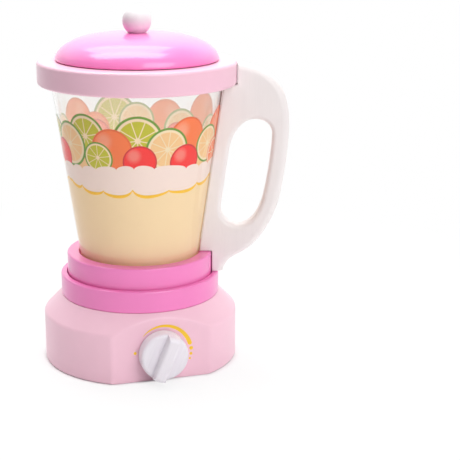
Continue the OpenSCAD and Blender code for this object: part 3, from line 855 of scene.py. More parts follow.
def marked_paint(context):
    """The base's paint, with the dots and the swelling arc beside the dial.

    The arc's ends are in degrees from the dial's right; its thick end is rounded off. One dot
    is (across, up, radius) in mm, the others past the thick end are (degrees, radius).
    """
    dial, colours = InMm(context.scene.toy_dial), context.scene.toy_colours
    thin_end, thick_end, swelling, end_rounding, soft = 138.0, 14.0, 0.6, 0.33, 0.08
    dots, past_dots = [(-16.9, 1.2, 1.0)], ((3.0, 1.25), (-8.0, 1.0), (-17.5, 0.75))
    material, nodes, position = new_material("base_paint")
    x, y, z = nodes.split(position)
    across = nodes.over(x, MM)
    up = nodes.over(nodes.minus(z, dial.group.axis_height), MM)
    turn = nodes.math("DEGREES", nodes.math("ARCTAN2", up, across))
    place = nodes.join(across, up, 0.0)
    along = nodes.over(nodes.minus(thin_end, turn), thin_end - thick_end)
    so_far = nodes.least(along, 1.0)
    middle = nodes.line(so_far, dial.mark_grow, dial.mark_radius)
    swell = nodes.math("POWER", nodes.most(so_far, 0.0), swelling)
    half = nodes.line(swell, dial.mark_width / 2, -0.05)
    past_end = nodes.times(nodes.most(nodes.minus(thick_end, turn), 0.0), end_rounding)
    off = nodes.minus(nodes.measure("LENGTH", place), middle)
    off = nodes.math("SQRT", nodes.plus(nodes.times(off, off), nodes.times(past_end, past_end)))
    mask = nodes.step(nodes.minus(half, off), -soft, soft)
    mask = nodes.times(mask, nodes.math("GREATER_THAN", along, 0.0))
    reach = dial.mark_radius + dial.mark_grow + 0.4
    for degrees, size in past_dots:
        t = math.radians(degrees)
        dots.append((reach * math.cos(t), reach * math.sin(t), size))
    for dot_x, dot_z, size in dots:
        near = nodes.measure("DISTANCE", place, (dot_x, dot_z, 0.0))
        mask = nodes.most(mask, nodes.step(near, size + soft, size - soft))
    front = -(context.scene.toy_base.flat_distance - 0.5 * MM)
    mask = nodes.times(mask, nodes.math("LESS_THAN", y, front))
    # The base's pink is made a little lighter than the collar's, as painted light from the floor.
    tint = nodes.mix(mask, colours.light_pink, colours.mark)
    return surfaced(material, nodes, paint_surface(nodes, position, tint, 0.42, 0.22))


def turned_position(nodes, position, rotation):
    """The position turned by angles about the three axes, for wood that lies another way."""
    return nodes.fill(nodes.add("ShaderNodeMapping", position), Rotation=rotation)


def white_wood(name, tint, lean=0.0, streaks=0.04):
    """White paint on wood whose grain still shows as faint streaks and pores."""
    material, nodes, position = new_material(name)
    if lean:
        position = turned_position(nodes, position, (0.0, -lean, 0.0))
    grain = nodes.group("wood_grain", Position=position, Scale=420.0)
    coat = nodes.group("coat_tone", Position=position, Colour=tint, Amount=0.02)["Color"]
    dull = tuple(c * f for c, f in zip(tint, (0.66, 0.64, 0.68)))
    coat = nodes.mix(nodes.times(nodes.step(grain["Streaks"], 0.42, 0.68), streaks), coat, dull)
    coat = nodes.mix(nodes.times(grain["Pores"], streaks), coat, dull)
    height = nodes.line(grain["Pores"], -0.6, grain["Streaks"])
    return surfaced(material, nodes, nodes.principled(
        Base_Color=coat, Roughness=nodes.line(grain["Streaks"], 0.16, 0.40),
        Normal=nodes.bump(height, 0.6, 0.00006), Coat_Weight=0.08, Coat_Roughness=0.3))


def bare_wood(name, colours, rotation, layer=0.0):
    """Unpainted beech, or plywood where a layer's thickness is given."""
    material, nodes, position = new_material(name)
    grain = nodes.group("wood_grain", Position=turned_position(nodes, position, rotation),
                        Scale=260.0, Stretch=0.05)
    dark = colours.wood_dark
    tint = nodes.mix(nodes.step(grain["Streaks"], 0.34, 0.70), colours.wood, dark)
    tint = nodes.mix(nodes.times(grain["Pores"], 0.5), tint, tuple(c * 0.55 for c in dark))
    if layer:
        number = nodes.math("FLOOR", nodes.over(nodes.split(position)[2], layer))
        tint = nodes.mix(nodes.times(nodes.math("MODULO", number, 2.0), 0.35), tint, dark)
    height = nodes.line(grain["Pores"], -0.8, grain["Streaks"])
    return surfaced(material, nodes, nodes.principled(
        Base_Color=tint, Roughness=nodes.line(grain["Streaks"], 0.2, 0.5),
        Normal=nodes.bump(height, 0.6, 0.0001)))


def clear_plastic():
    """The moulded cup: clear, with a faint flow pattern, and open to lamp light."""
    material, nodes, position = new_material("clear_cup_plastic")
    tint = nodes.group("coat_tone", Position=position, Colour=(0.985, 0.985, 0.98),
                       Amount=0.004, Scale=30.0)["Color"]
    peel = nodes.group("paint_peel", Position=position, Scale=60.0)["Height"]
    glass = nodes.principled(Base_Color=tint, Roughness=0.02, IOR=1.46,
                             Normal=nodes.bump(peel, 0.2, 0.00003), Transmission_Weight=1.0)
    path = nodes.add("ShaderNodeLightPath").outputs
    through = nodes.most(path["Is Shadow Ray"], path["Is Diffuse Ray"])
    return surfaced(material, nodes, nodes.blend(through, glass, nodes.clear((0.97, 0.97, 0.965))))


def printed_film(look):
    """The liner's print: thin ink that lets light glow through, paler from behind, clear above."""
    material, nodes, position = new_material("liner_ink")
    ink = nodes.group("liner_print", Position=position)
    behind = nodes.add("ShaderNodeNewGeometry").outputs["Backfacing"]
    tint = nodes.mix(nodes.times(behind, look.pale_share), ink["Color"], look.pale)
    mottle = nodes.group("coat_tone", Position=position, Colour=tint, Amount=0.02,
                         Scale=200.0)["Color"]
    coat = nodes.principled(Base_Color=mottle, Roughness=0.45)
    glow = nodes.add("ShaderNodeBsdfTranslucent", mottle).outputs[0]
    through = nodes.line(behind, look.back_glow - look.glow_share, look.glow_share)
    inked = nodes.blend(through, coat, glow)
    return surfaced(material, nodes,
                    nodes.blend(ink["Opacity"], nodes.clear((0.99, 0.985, 0.98)), inked))


def bare_film():
    """The liner's inner face: clear film with a faint haze."""
    material, nodes, position = new_material("liner_clear_side")
    haze = nodes.group("paint_peel", Position=position, Scale=90.0)["Height"]
    coat = nodes.principled(Base_Color=(0.96, 0.95, 0.94), Roughness=nodes.line(haze, 0.1, 0.25))
    return surfaced(material, nodes, nodes.blend(0.04, nodes.clear((0.995, 0.99, 0.985)), coat))


def metal(name, tint, roughness, scale):
    """Plated or spring steel with fine brushed scratches."""
    material, nodes, position = new_material(name)
    grain = nodes.group("wood_grain", Position=position, Scale=scale, Stretch=0.08)["Streaks"]
    tone = nodes.group("coat_tone", Position=position, Colour=tint, Amount=0.06,
                       Scale=300.0)["Color"]
    return surfaced(material, nodes, nodes.principled(
        Base_Color=tone, Metallic=1.0, Roughness=nodes.line(grain, 0.25, roughness - 0.12),
        Normal=nodes.bump(grain, 0.3, 0.00002)))


def nylon(name, tint):
    """The moulded wheel: milky plastic with a fine spark texture."""
    material, nodes, position = new_material(name)
    tone = nodes.group("coat_tone", Position=position, Colour=tint, Amount=0.02,
                       Scale=150.0)["Color"]
    peel = nodes.group("paint_peel", Position=position, Scale=1500.0)["Height"]
    return surfaced(material, nodes, nodes.principled(
        Base_Color=tone, Roughness=nodes.line(peel, 0.1, 0.38),
        Normal=nodes.bump(peel, 0.3, 0.00003), Subsurface_Weight=0.1))


# ---------------------------------------------------------------- operators

class TOY_OT_materials(Operator):
    """Makes the shared node groups and dresses the CAD nodes that stay"""

    bl_idname = "toy.materials"
    bl_label = "Groups and Inner Parts"

    def execute(self, context):
        colours = context.scene.toy_colours
        build_groups(context.scene.toy_print)
        zinc = metal("zinc_plated_steel", colours.zinc, 0.32, 900.0)
        upright = bare_wood("beech_upright", colours, (0.0, 0.0, 0.0))
        dressed = {
            bare_wood("plywood_plate", colours, (0.0, QUARTER, 0.0), 1.17 * MM): ("bottom_plate",),
            bare_wood("beech_along_dial", colours, (QUARTER, 0.0, 0.0)): ("dial_shaft",),
            upright: ("spring_block", "handle_dowels", "knob_dowel"),
            zinc: ("seat_screws", "spring_screws", "wheel_washer", "wheel_screw"),
            metal("spring_steel_strip", colours.steel, 0.26, 1400.0): ("click_spring",),
            nylon("pale_wheel_nylon", colours.nylon): ("click_wheel",),
            white_wood("washer_paint", colours.white): ("dial_washer",),
        }
        for material, names in dressed.items():
            for name in names:
                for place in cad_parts[name].material_slots:
                    place.material = material
        return {"FINISHED"}


class TOY_OT_base_block(Operator):
    """Builds the base block, with its shoulder, softened flat and mechanism pocket"""

    bl_idname = "toy.base_block"
    bl_label = "Base Block"

    def execute(self, context):
        sizes = InMm(context.scene.toy_base)
        self.radius, _, self.height = box("base_housing")[1]
        self.seat = box("seat_ring")[1].x
        plate = box("bottom_plate")[1]
        shank = sizes.shank_radius + FIT
        in_plate, under_head, in_head, in_seat = 1.0, -0.05, 0.5, 12.0
        cutters = [rod(plate.x + sizes.plate_gap, -PAST, plate.z, 192), self.pocket(sizes),
                   move(rod(sizes.bore, -sizes.flat_wall - PAST, 2 * PAST), dial_place(context))]
        for place in on_circle(4, 0, sizes.screw_circle):
            end = sizes.sunk + sizes.screw_length + FIT
            cutters.append(move(rod(shank, in_plate, end, SCREW_SIDES), place))
        for place in on_circle(3, 90, sizes.seat_screw_circle, sizes.pocket_depth):
            head = sizes.head_radius + FIT
            cutters += [move(cutter, place) for cutter in (
                rod(head, under_head, sizes.head_depth, SCREW_SIDES, shank),
                rod(shank, in_head, in_seat, SCREW_SIDES))]
        piece = shade(combine(self.block(sizes), cutters), 34.0)
        finish_piece(piece, "base", "light_pink_paint", "base_housing", marked_paint(context))
        return {"FINISHED"}

    def outline_radius(self, sizes, z):
        """Radius of the turned block at a height, in mm, before the flat is cut."""
        foot, side, corner = sizes.foot_bevel, sizes.side_height, sizes.shoulder_round
        if z < foot:
            return self.radius - foot + math.sqrt(max(0.0, foot ** 2 - (foot - z) ** 2))
        slope = math.atan2(self.height - side, self.radius - self.seat)
        bend = QUARTER - slope
        start = side - corner * math.tan(bend / 2)
        if z <= start:
            return self.radius
        if z < start + corner * math.sin(bend):
            return self.radius - corner + math.sqrt(corner ** 2 - (z - start) ** 2)
        return self.seat + (self.height - z) * (self.radius - self.seat) / (self.height - side)

    def block(self, sizes):
        """The block as a grid round the axis; the flat meets it in a softened edge."""
        soft, rise = sizes.flat_soften, 0.3
        heights = [0, 0.08, 0.2, 0.38, 0.6, 0.9, 1.6, 3, 7, 11, 15, 19, 23, 26, 28, 29.2]
        while heights[-1] < self.height - rise:
            heights.append(heights[-1] + rise)
        heights.append(self.height)
        front, fine, coarse = 40, 0.5, 2.5
        turns = [-front + fine * i for i in range(int(2 * front / fine) + 1)]
        turns += [front + coarse * i for i in range(1, int((360 - 2 * front) / coarse))]
        bm = bmesh.new()
        rings = []
        for z in heights:
            turned = self.outline_radius(sizes, z)
            ring = []
            for degrees in turns:
                t = math.radians(degrees)
                radius = turned
                if abs(degrees) <= front:
                    flat = sizes.flat_distance / math.cos(t)
                    blend = max(soft - abs(turned - flat), 0) / soft
                    radius = min(turned, flat) - blend * blend * soft / 4
                x, y = radius * math.sin(t), -radius * math.cos(t)
                ring.append(bm.verts.new((x * MM, y * MM, z * MM)))
            rings.append(ring)
        skin(bm, rings)
        for z, ring, inside in ((0, rings[0], True), (self.height, rings[-1], False)):
            middle = bm.verts.new((0, 0, z * MM))
            for i, here in enumerate(ring):
                after = ring[(i + 1) % len(ring)]
                bm.faces.new((middle, after, here) if inside else (middle, here, after))
        return new_piece("base_block", bm)

    def pocket(self, sizes):
        """The pocket's cutter: a box with bevelled corners."""
        wide, bevel, back = sizes.pocket_half, sizes.pocket_bevel, sizes.pocket_back
        front = sizes.flat_wall - sizes.flat_distance
        points = [(wide, front + bevel), (wide, back - bevel), (wide - bevel, back)]
        points += [(-x, y) for x, y in points[::-1]]
        return prism(points + [(bevel - wide, front), (wide - bevel, front)],
                     -PAST, sizes.pocket_depth)


class TOY_OT_plate_screws(Operator):
    """Sets the countersunk cross-head screws of the bottom plate with Geometry Nodes"""

    bl_idname = "toy.plate_screws"
    bl_label = "Plate Screws"

    def execute(self, context):
        sizes = context.scene.toy_base
        zinc = bpy.data.materials["zinc_plated_steel"]
        piece = grown("plate_cross_screws", self.tree(), {
            "Circle Radius": sizes.screw_circle, "Count": 4, "Sunk": sizes.sunk,
            "Head Radius": sizes.head_radius, "Head Depth": sizes.head_depth,
            "Shank Radius": sizes.shank_radius, "Length": sizes.screw_length,
            "Recess": sizes.recess, "Material": zinc})
        finish_piece(shade(piece, 30.0), "base", "zinc_screw", "plate_screws", zinc)
        return {"FINISHED"}

    def tree(self):
        """Node tree: one screw with a cross recess, set on the points of a circle."""
        lengths = ("Circle Radius", "Sunk", "Head Radius", "Head Depth", "Shank Radius", "Length",
                   "Recess")
        nodes, given, out = new_group(
            "screws_on_a_circle",
            {"Geometry": GEOMETRY, "Count": 4, "Material": MATERIAL, **dict.fromkeys(lengths, MM)},
            {"Geometry": GEOMETRY}, "GeometryNodeTree")
        head_radius, head_depth = given["Head Radius"], given["Head Depth"]
        head = nodes.fill(
            nodes.add("GeometryNodeMeshCone", fill_type="NGON"), Vertices=32,
            Radius_Top=given["Shank Radius"], Radius_Bottom=head_radius, Depth=head_depth)
        shank = nodes.fill(
            nodes.add("GeometryNodeMeshCylinder", fill_type="NGON"), Vertices=32,
            Radius=given["Shank Radius"], Depth=nodes.minus(given["Length"], head_depth))
        lift = nodes.times(nodes.plus(given["Length"], head_depth), 0.5)
        whole = self.joined(
            nodes, head, self.raised(nodes, shank, nodes.minus(lift, 0.01 * MM)))
        arm, deep = nodes.times(head_radius, 1.15), nodes.times(head_depth, 1.3)
        arms = [nodes.fill(nodes.add("GeometryNodeMeshCube"), Size=nodes.join(x, y, deep))
                for x, y in ((arm, given["Recess"]), (given["Recess"], arm))]
        cut = nodes.add("GeometryNodeMeshBoolean", operation="DIFFERENCE", solver="EXACT")
        nodes.put(cut.inputs["Mesh 1"], whole)
        nodes.put(cut.inputs["Mesh 2"], self.joined(nodes, *arms))
        circle = nodes.fill(nodes.add("GeometryNodeMeshCircle"), Vertices=given["Count"],
                            Radius=given["Circle Radius"])
        placed = nodes.fill(nodes.add("GeometryNodeInstanceOnPoints", circle),
                            Instance=cut.outputs["Mesh"])
        real = nodes.add("GeometryNodeRealizeInstances", self.raised(nodes, placed, given["Sunk"]))
        plated = nodes.add("GeometryNodeSetMaterial", real.outputs[0])
        nodes.put(out[0], nodes.fill(plated, Material=given["Material"]))
        return nodes.tree

    def raised(self, nodes, mesh, height):
        """The mesh moved up by a height."""
        return nodes.fill(nodes.add("GeometryNodeTransform", mesh),
                          Translation=nodes.join(0.0, 0.0, height))

    def joined(self, nodes, *meshes):
        """The union of several meshes."""
        boolean = nodes.add("GeometryNodeMeshBoolean", operation="UNION", solver="EXACT")
        for mesh in meshes:
            nodes.put(boolean.inputs["Mesh 2"], mesh)
        return boolean.outputs["Mesh"]


class TOY_OT_turned_rings(Operator):
    """Turns the seat ring, the jug's ring and the collar"""

    bl_idname = "toy.turned_rings"
    bl_label = "Turned Rings"

    def execute(self, context):
        scene = context.scene
        sizes, base, jug = InMm(scene.toy_rings), InMm(scene.toy_base), InMm(scene.toy_jug)
        bright = painted("ring_paint", scene.toy_colours.bright_pink, 0.31, 0.4)
        # The collar's colour is the base's pink made a little darker, as painted shade.
        light = painted("collar_paint_shaded", scene.toy_colours.collar_pink_shaded, 0.40, 0.25)
        low, high = box("seat_ring")
        ring_low, ring_high = box("jug_ring")

        seat = self.dished("jug_seat", sizes, low, high, ring_high.x + sizes.seat_gap,
                           high.z - sizes.seat_depth)
        shank = base.shank_radius + FIT
        combine(seat, [move(rod(shank, -PAST, SEAT_SCREW_DEPTH, SCREW_SIDES), place)
                       for place in on_circle(3, 90, base.seat_screw_circle, low.z)])
        finish_piece(shade(seat), "base", "bright_pink_paint", "seat_ring", bright)

        bore = jug.foot_radius + jug.group.flare * sizes.recess + sizes.cup_gap
        ring = self.dished("jug_foot_ring", sizes, ring_low, ring_high, bore,
                           ring_high.z - sizes.recess)
        combine(ring, [foot_dowel(context, bore + RING_DOWEL_BACK, ring_high.x + 2 * PAST)])
        finish_piece(shade(ring), "jug", "bright_pink_paint", "jug_ring", bright)

        low, high = box("jug_collar")
        mouth, groove = sizes.mouth, box("jug_cup")[1].x + sizes.rim_gap
        ceiling, out, inner = low.z + sizes.groove, sizes.collar_edge, 0.15
        collar = lathe("jug_mouth_collar", rounded([
            (groove, low.z, inner), (high.x, low.z, out), (high.x, high.z, out),
            (mouth, high.z, sizes.edge), (mouth, ceiling, inner), (groove, ceiling, inner)]),
            around=256)
        combine(collar, [collar_dowel(context, low.z - PAST, low.z + COLLAR_DOWEL_DEPTH)])
        finish_piece(shade(collar), "jug", "light_pink_paint", "jug_collar", light)
        return {"FINISHED"}

    def dished(self, name, sizes, low, high, recess, floor):
        """A turned disc with a round recess in its top."""
        inner = 0.2
        return lathe(name, rounded([
            (0, low.z, 0), (high.x, low.z, sizes.low_edge), (high.x, high.z, sizes.edge),
            (recess, high.z, sizes.inner_edge), (recess, floor, inner), (0, floor, 0)]))


class TOY_OT_dial(Operator):
    """Builds the dial with its raised grip"""

    bl_idname = "toy.dial"
    bl_label = "Dial"

    def execute(self, context):
        sizes = InMm(context.scene.toy_dial)
        radius, back, face, top = sizes.radius, sizes.back, sizes.face, sizes.grip_top
        lean, back_edge, end_inset, around = sizes.group.grip_lean, 0.4, 0.2, 160
        disc = lathe("click_dial", rounded([
            (0, back, 0), (radius, back, back_edge), (radius, face, sizes.edge), (0, face, 0)],
            steps=8), around)
        low, half, end_reach = face - sizes.edge - PAST, sizes.grip_width / 2, radius - end_inset
        outline = rounded([(-half, low, 0), (half, low, 0), (half, top, sizes.grip_edge),
                           (-half, top, sizes.grip_edge)], steps=8)
        bar = prism([(p.x, p.y) for p in outline], -radius, radius)
        move(bar, Matrix.Rotation(QUARTER, 4, "X"))
        end = lathe("cutter", rounded([
            (0, low, 0), (end_reach, low, 0), (end_reach, top, sizes.grip_end), (0, top, 0)],
            steps=10), around)
        combine(bar, [end], "INTERSECT")
        combine(disc, [move(bar, Matrix.Rotation(-lean, 4, "Z"))], "UNION")
        combine(disc, [rod(sizes.dowel_radius, back - PAST, back + sizes.dowel_depth, 48)])
        bevel = disc.modifiers.new("sanding", "BEVEL")
        bevel.width = sizes.group.sanding
        bevel.segments = 2
        bevel.limit_method = "ANGLE"
        bevel.angle_limit = math.radians(50)
        shade(move(bake(disc), dial_place(context)), 40.0)
        paint = white_wood("dial_paint", context.scene.toy_colours.dial_white, lean, 0.12)
        finish_piece(disc, "dial", "white_paint", "dial_knob", paint)
        return {"FINISHED"}


class TOY_OT_cup(Operator):
    """Moulds the clear cup and rolls the printed liner inside it"""

    bl_idname = "toy.cup"
    bl_label = "Cup and Print"

    def execute(self, context):
        sizes, flare = InMm(context.scene.toy_jug), context.scene.toy_jug.flare
        slope = math.sqrt(1 + flare ** 2)
        low, high = box("jug_cup")

        def outside(z):
            return sizes.foot_radius + flare * (z - low.z)

        floor, rim, around = low.z + sizes.floor, sizes.rim_round, 256
        inset = (sizes.wall + sizes.film_press) * slope
        cup = lathe("clear_cup", rounded([
            (0, low.z, 0), (sizes.foot_radius, low.z, sizes.rounding),
            (outside(high.z), high.z, rim), (outside(high.z) - inset, high.z, rim),
            (outside(floor) - inset, floor, sizes.rounding - sizes.wall), (0, floor, 0)],
            steps=8), around)
        finish_piece(shade(cup, 40.0), "jug", "clear_plastic", "jug_cup", clear_plastic())

        film_low, film_high = box("print_film")
        gap, steps = (sizes.wall + sizes.film_gap) * slope, 12
        levels = [film_low.z + (film_high.z - film_low.z) * k / steps for k in range(steps + 1)]
        outline = [(outside(z) - gap, z) for z in levels]
        outline += [(outside(z) - gap - sizes.film, z) for z in reversed(levels)]
        sides = [side for side in (0, 1) for _ in levels]
        liner = smooth(lathe("printed_liner", outline, around, sides), 40.0)
        finish_piece(liner, "jug", "printed_film", "print_film",
                     printed_film(context.scene.toy_print), bare_film())
        return {"FINISHED"}


class TOY_OT_handle(Operator):
    """Shapes the handle board with its rounded edges, notches and finger slot"""

    bl_idname = "toy.handle"
    bl_label = "Handle Board"

    def execute(self, context):
        sizes, self.jug = InMm(context.scene.toy_handle), InMm(context.scene.toy_jug)
        low, high = box("handle")
        ring, collar = box("jug_ring")[1], box("jug_collar")
        self.foot_z, self.top, self.seat = low.z, high.z, box("seat_ring")[1].z
        self.collar_u, self.collar_z = collar[1].x + sizes.gap, collar[0].z
        self.ring_u, self.ring_z = ring.x + sizes.gap, ring.z + sizes.gap
        self.cup_low = box("jug_cup")[0].z
        piece = move(self.board(sizes), jug_place(context))
        combine(piece, [
            foot_dowel(context, self.ring_u - 3 * PAST, sizes.foot - FOOT_DOWEL_BACK),
            collar_dowel(context, self.collar_z - COLLAR_DOWEL_DEPTH, self.collar_z + PAST)])
        paint = white_wood("handle_paint", context.scene.toy_colours.white)
        finish_piece(shade(piece, 36.0), "jug", "white_paint", "handle", paint)
        return {"FINISHED"}

    def cup_edge(self, z):
        """Outer radius of the cup at a height."""
        return self.jug.foot_radius + self.jug.group.flare * (z - self.cup_low)

    def curves(self, *arcs):
        """Points of cubic curves, each (start, its pull, the end's pull, end, steps)."""
        points = []
        for p, start_pull, end_pull, s, steps in arcs:
            q, r = p + Vector(start_pull), s + Vector(end_pull)
            for i in range(steps):
                t = i / steps
                w = 1 - t
                points.append(w ** 3 * p + 3 * w * w * t * q + 3 * w * t * t * r + t ** 3 * s)
        return points

    def directions(self, points):
        """Outward direction at each point of a closed counterclockwise outline, mitred."""
        found = []
        for i, here in enumerate(points):
            before = (here - points[i - 1]).normalized()
            after = (points[(i + 1) % len(points)] - here).normalized()
            n1, n2 = Vector((before.y, -before.x)), Vector((after.y, -after.x))
            found.append((n1 + n2) / (1 + n1.dot(n2)))
        return found

    def outer(self, sizes):
        """The rounded edge: from the foot, out round the grip, to the shoulder."""
        foot = Vector((sizes.foot, self.foot_z))
        heel = Vector((sizes.heel, self.seat + sizes.heel_up))
        elbow = Vector((sizes.elbow, self.seat + sizes.elbow_up))
        reach = Vector((sizes.reach, self.seat + sizes.reach_up))
        shoulder = Vector((self.collar_u, self.top))
        return self.curves(
            (foot, (0.4, 4.2), (-7, -3.4), heel, 12), (heel, (14, 6.8), (-2.8, -16), elbow, 20),
            (elbow, (1.9, 12), (0, -16), reach, 12),
            (reach, (0, 29.5), (19.5, -3.9), shoulder, 30)) + [shoulder]

    def slot(self, sizes):
        """The finger slot, counterclockwise."""
        low_z, top_z = self.seat + sizes.slot_up, self.top - sizes.slot_down
        left_low, left_top = (Vector((self.cup_edge(z) + sizes.slot_inset, z))
                              for z in (low_z + 13, top_z - 19))
        right_low = Vector((sizes.elbow - sizes.bar, self.seat + sizes.elbow_up))
        right_top = Vector((sizes.reach - sizes.bar, self.seat + sizes.reach_up - 6))
        low = Vector(((left_low.x + right_low.x) / 2 - 2.5, low_z))
        top = Vector(((left_top.x + right_top.x) / 2 + 2.5, top_z))
        return self.curves(
            (low, (9, 0), (-2.2, -11.5), right_low, 14),
            (right_low, (2, 10), (-0.2, -9), right_top, 8),
            (right_top, (0.2, 7.2), (6.5, 0), top, 12), (top, (-7.5, 0), (1.8, 10.5), left_top, 12),
            (left_top, (-1.4, -10), (1.4, 10), left_low, 6),
            (left_low, (-1.2, -8), (-6.5, 0), low, 12))

    def board(self, sizes):
        """The board as rings through its thickness, and two flat faces with the slot's hole."""
        big, small, gap = sizes.outer_round, sizes.inner_round, sizes.gap
        outer = self.outer(sizes)
        inner = [Vector(p) for p in (
            (self.collar_u, self.top - big), (self.collar_u, self.collar_z),
            (self.cup_edge(self.collar_z) + gap, self.collar_z),
            (self.cup_edge(self.ring_z) + gap, self.ring_z),
            (self.ring_u, self.ring_z), (self.ring_u, self.foot_z),
            (sizes.foot - big, self.foot_z))]
        lean = self.directions(outer + inner)
        lean[0] = Vector((1, -small / big))
        lean[len(outer) - 1] = Vector((-small / big, 1))
        lean[len(outer)] = Vector((-1, 0))
        lean[-1] = Vector((0, -1))
        slot = self.slot(sizes)
        slot_lean = [-d for d in self.directions(slot)]
        bm = bmesh.new()
        half = sizes.thickness / 2
        edge = self.rings(bm, outer + inner, lean, [big] * len(outer) + [small] * len(inner), half)
        hole = self.rings(bm, slot, slot_lean, [sizes.slot_round] * len(slot), half)
        skin(bm, edge)
        skin(bm, hole, True)
        for side in (0, -1):
            loops = [edge[side], hole[side]]
            flat = loops[0] + loops[1]
            corners = [[Vector((v.co.x, v.co.z, 0)) for v in loop] for loop in loops]
            for triangle in tessellate_polygon(corners):
                verts = [flat[i] for i in triangle]
                if bm.faces.get(verts) is None:
                    bm.faces.new(verts)
        bmesh.ops.remove_doubles(bm, verts=bm.verts, dist=1e-6)
        bmesh.ops.recalc_face_normals(bm, faces=bm.faces)
        return new_piece("handle_board", bm)

    def rings(self, bm, outline, lean, rounds, half, steps=8):
        """Vertex rings from one face of the board to the other, with quarter-round edges."""
        found = []
        for side, order in ((-1, range(steps + 1)), (1, range(steps, -1, -1))):
            for k in order:
                t = QUARTER * k / steps
                ring = []
                for point, direction, radius in zip(outline, lean, rounds):
                    place = point - direction * radius * (1 - math.sin(t))
                    level = side * (half - radius * (1 - math.cos(t)))
                    ring.append(bm.verts.new((place.x * MM, level * MM, place.y * MM)))
                found.append(ring)
        return found


class TOY_OT_lid(Operator):
    """Builds the domed lid with Geometry Nodes, its stopper and the ball knob"""

    bl_idname = "toy.lid"
    bl_label = "Lid and Knob"

    def execute(self, context):
        group, colours = context.scene.toy_lid, context.scene.toy_colours
        sizes = InMm(group)
        pink = painted("lid_paint", colours.lid_pink, 0.34, 0.65)
        low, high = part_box("lid_dome")
        dome = grown("domed_lid", self.dome_tree(), {
            "Radius": high.x, "Low": low.z, "Height": high.z - low.z, "Across": group.across,
            "Up": group.up, "Under Edge": group.under_edge, "Steps": group.around,
            "Material": pink})
        bm = bmesh.new()
        bm.from_mesh(dome.data)
        bmesh.ops.recalc_face_normals(bm, faces=bm.faces)
        bm.to_mesh(dome.data)
        bm.free()
        top = high.z / MM
        radius, depth = sizes.dowel_radius, sizes.dowel_depth
        combine(dome, [rod(radius, top - depth, top + 2 * PAST, DOWEL_SIDES)])
        finish_piece(shade(dome, 40.0), "lid", "lid_pink_paint", "lid_dome", pink)

        low, high = box("lid_plug")
        plug = lathe("lid_stopper", rounded([
            (0, low.z, 0), (high.x, low.z, sizes.plug_edge), (high.x, high.z, 0), (0, high.z, 0)]))
        finish_piece(shade(plug), "lid", "lid_pink_paint", "lid_plug", pink)

        low, high = box("lid_knob")
        ball, steps = sizes.knob_radius, 40
        middle = high.z - ball
        start = math.asin((low.z - middle) / ball)
        outline = [(0, low.z)]
        for k in range(steps):
            t = start + (QUARTER - start) * k / steps
            outline.append((ball * math.cos(t), middle + ball * math.sin(t)))
        knob = lathe("ball_knob", outline + [(0, high.z)], around=96)
        combine(knob, [rod(radius, low.z - PAST, low.z + depth, DOWEL_SIDES)])
        paint = white_wood("knob_paint", colours.knob_white)
        finish_piece(shade(knob), "lid", "white_paint", "lid_knob", paint)
        return {"FINISHED"}

    def dome_tree(self):
        """Node tree: a grid bent to a flat underside, a rounded edge and a superellipse dome."""
        nodes, given, out = new_group(
            "superellipse_dome",
            {"Geometry": GEOMETRY, "Radius": 0.05, "Low": 0.0, "Height": 0.016, "Across": 3.3,
             "Up": 1.65, "Under Edge": 0.0005, "Steps": 192, "Material": MATERIAL},
            {"Geometry": GEOMETRY}, "GeometryNodeTree")
        rows, under, edge = 71, 6, 6
        round_edge = given["Under Edge"]
        grid = nodes.add("GeometryNodeMeshGrid", 1.0, 1.0, nodes.plus(given["Steps"], 1.0), rows)
        x, y, _ = nodes.split(nodes.add("GeometryNodeInputPosition").outputs[0])
        turn = nodes.times(x, TURN)
        row = nodes.line(y, float(rows - 1), (rows - 1) / 2)

        def portion(first, count):
            """How far the row is through some of the rows, from 0 to 1."""
            inside = nodes.over(nodes.minus(row, float(first)), float(count))
            return nodes.least(nodes.most(inside, 0.0), 1.0)

        def curved(wave, angle, exponent):
            return nodes.math("POWER", nodes.most(nodes.math(wave, angle), 0.0),
                              nodes.over(2.0, exponent))

        flat = nodes.minus(given["Radius"], round_edge)
        bend = nodes.times(portion(under, edge), QUARTER)
        climb = nodes.times(portion(under + edge, rows - 1 - under - edge), QUARTER)
        out_by = nodes.line(nodes.math("SINE", bend), round_edge,
                            nodes.times(flat, portion(0, under)))
        lifted = nodes.times(nodes.minus(1.0, nodes.math("COSINE", bend)), round_edge)
        radius = nodes.times(out_by, curved("COSINE", climb, given["Across"]))
        rise = nodes.times(curved("SINE", climb, given["Up"]),
                           nodes.minus(given["Height"], round_edge))
        height = nodes.plus(nodes.plus(given["Low"], lifted), rise)
        place = nodes.join(nodes.times(radius, nodes.math("COSINE", turn)),
                           nodes.times(radius, nodes.math("SINE", turn)), height)
        bent = nodes.add("GeometryNodeSetPosition", grid.outputs["Mesh"])
        bent = nodes.fill(bent, Position=place)
        closed = nodes.fill(nodes.add("GeometryNodeMergeByDistance", bent), Distance=1e-6)
        real = nodes.add("GeometryNodeRealizeInstances", closed)
        coated = nodes.add("GeometryNodeSetMaterial", real.outputs[0])
        nodes.put(out[0], nodes.fill(coated, Material=given["Material"]))
        return nodes.tree


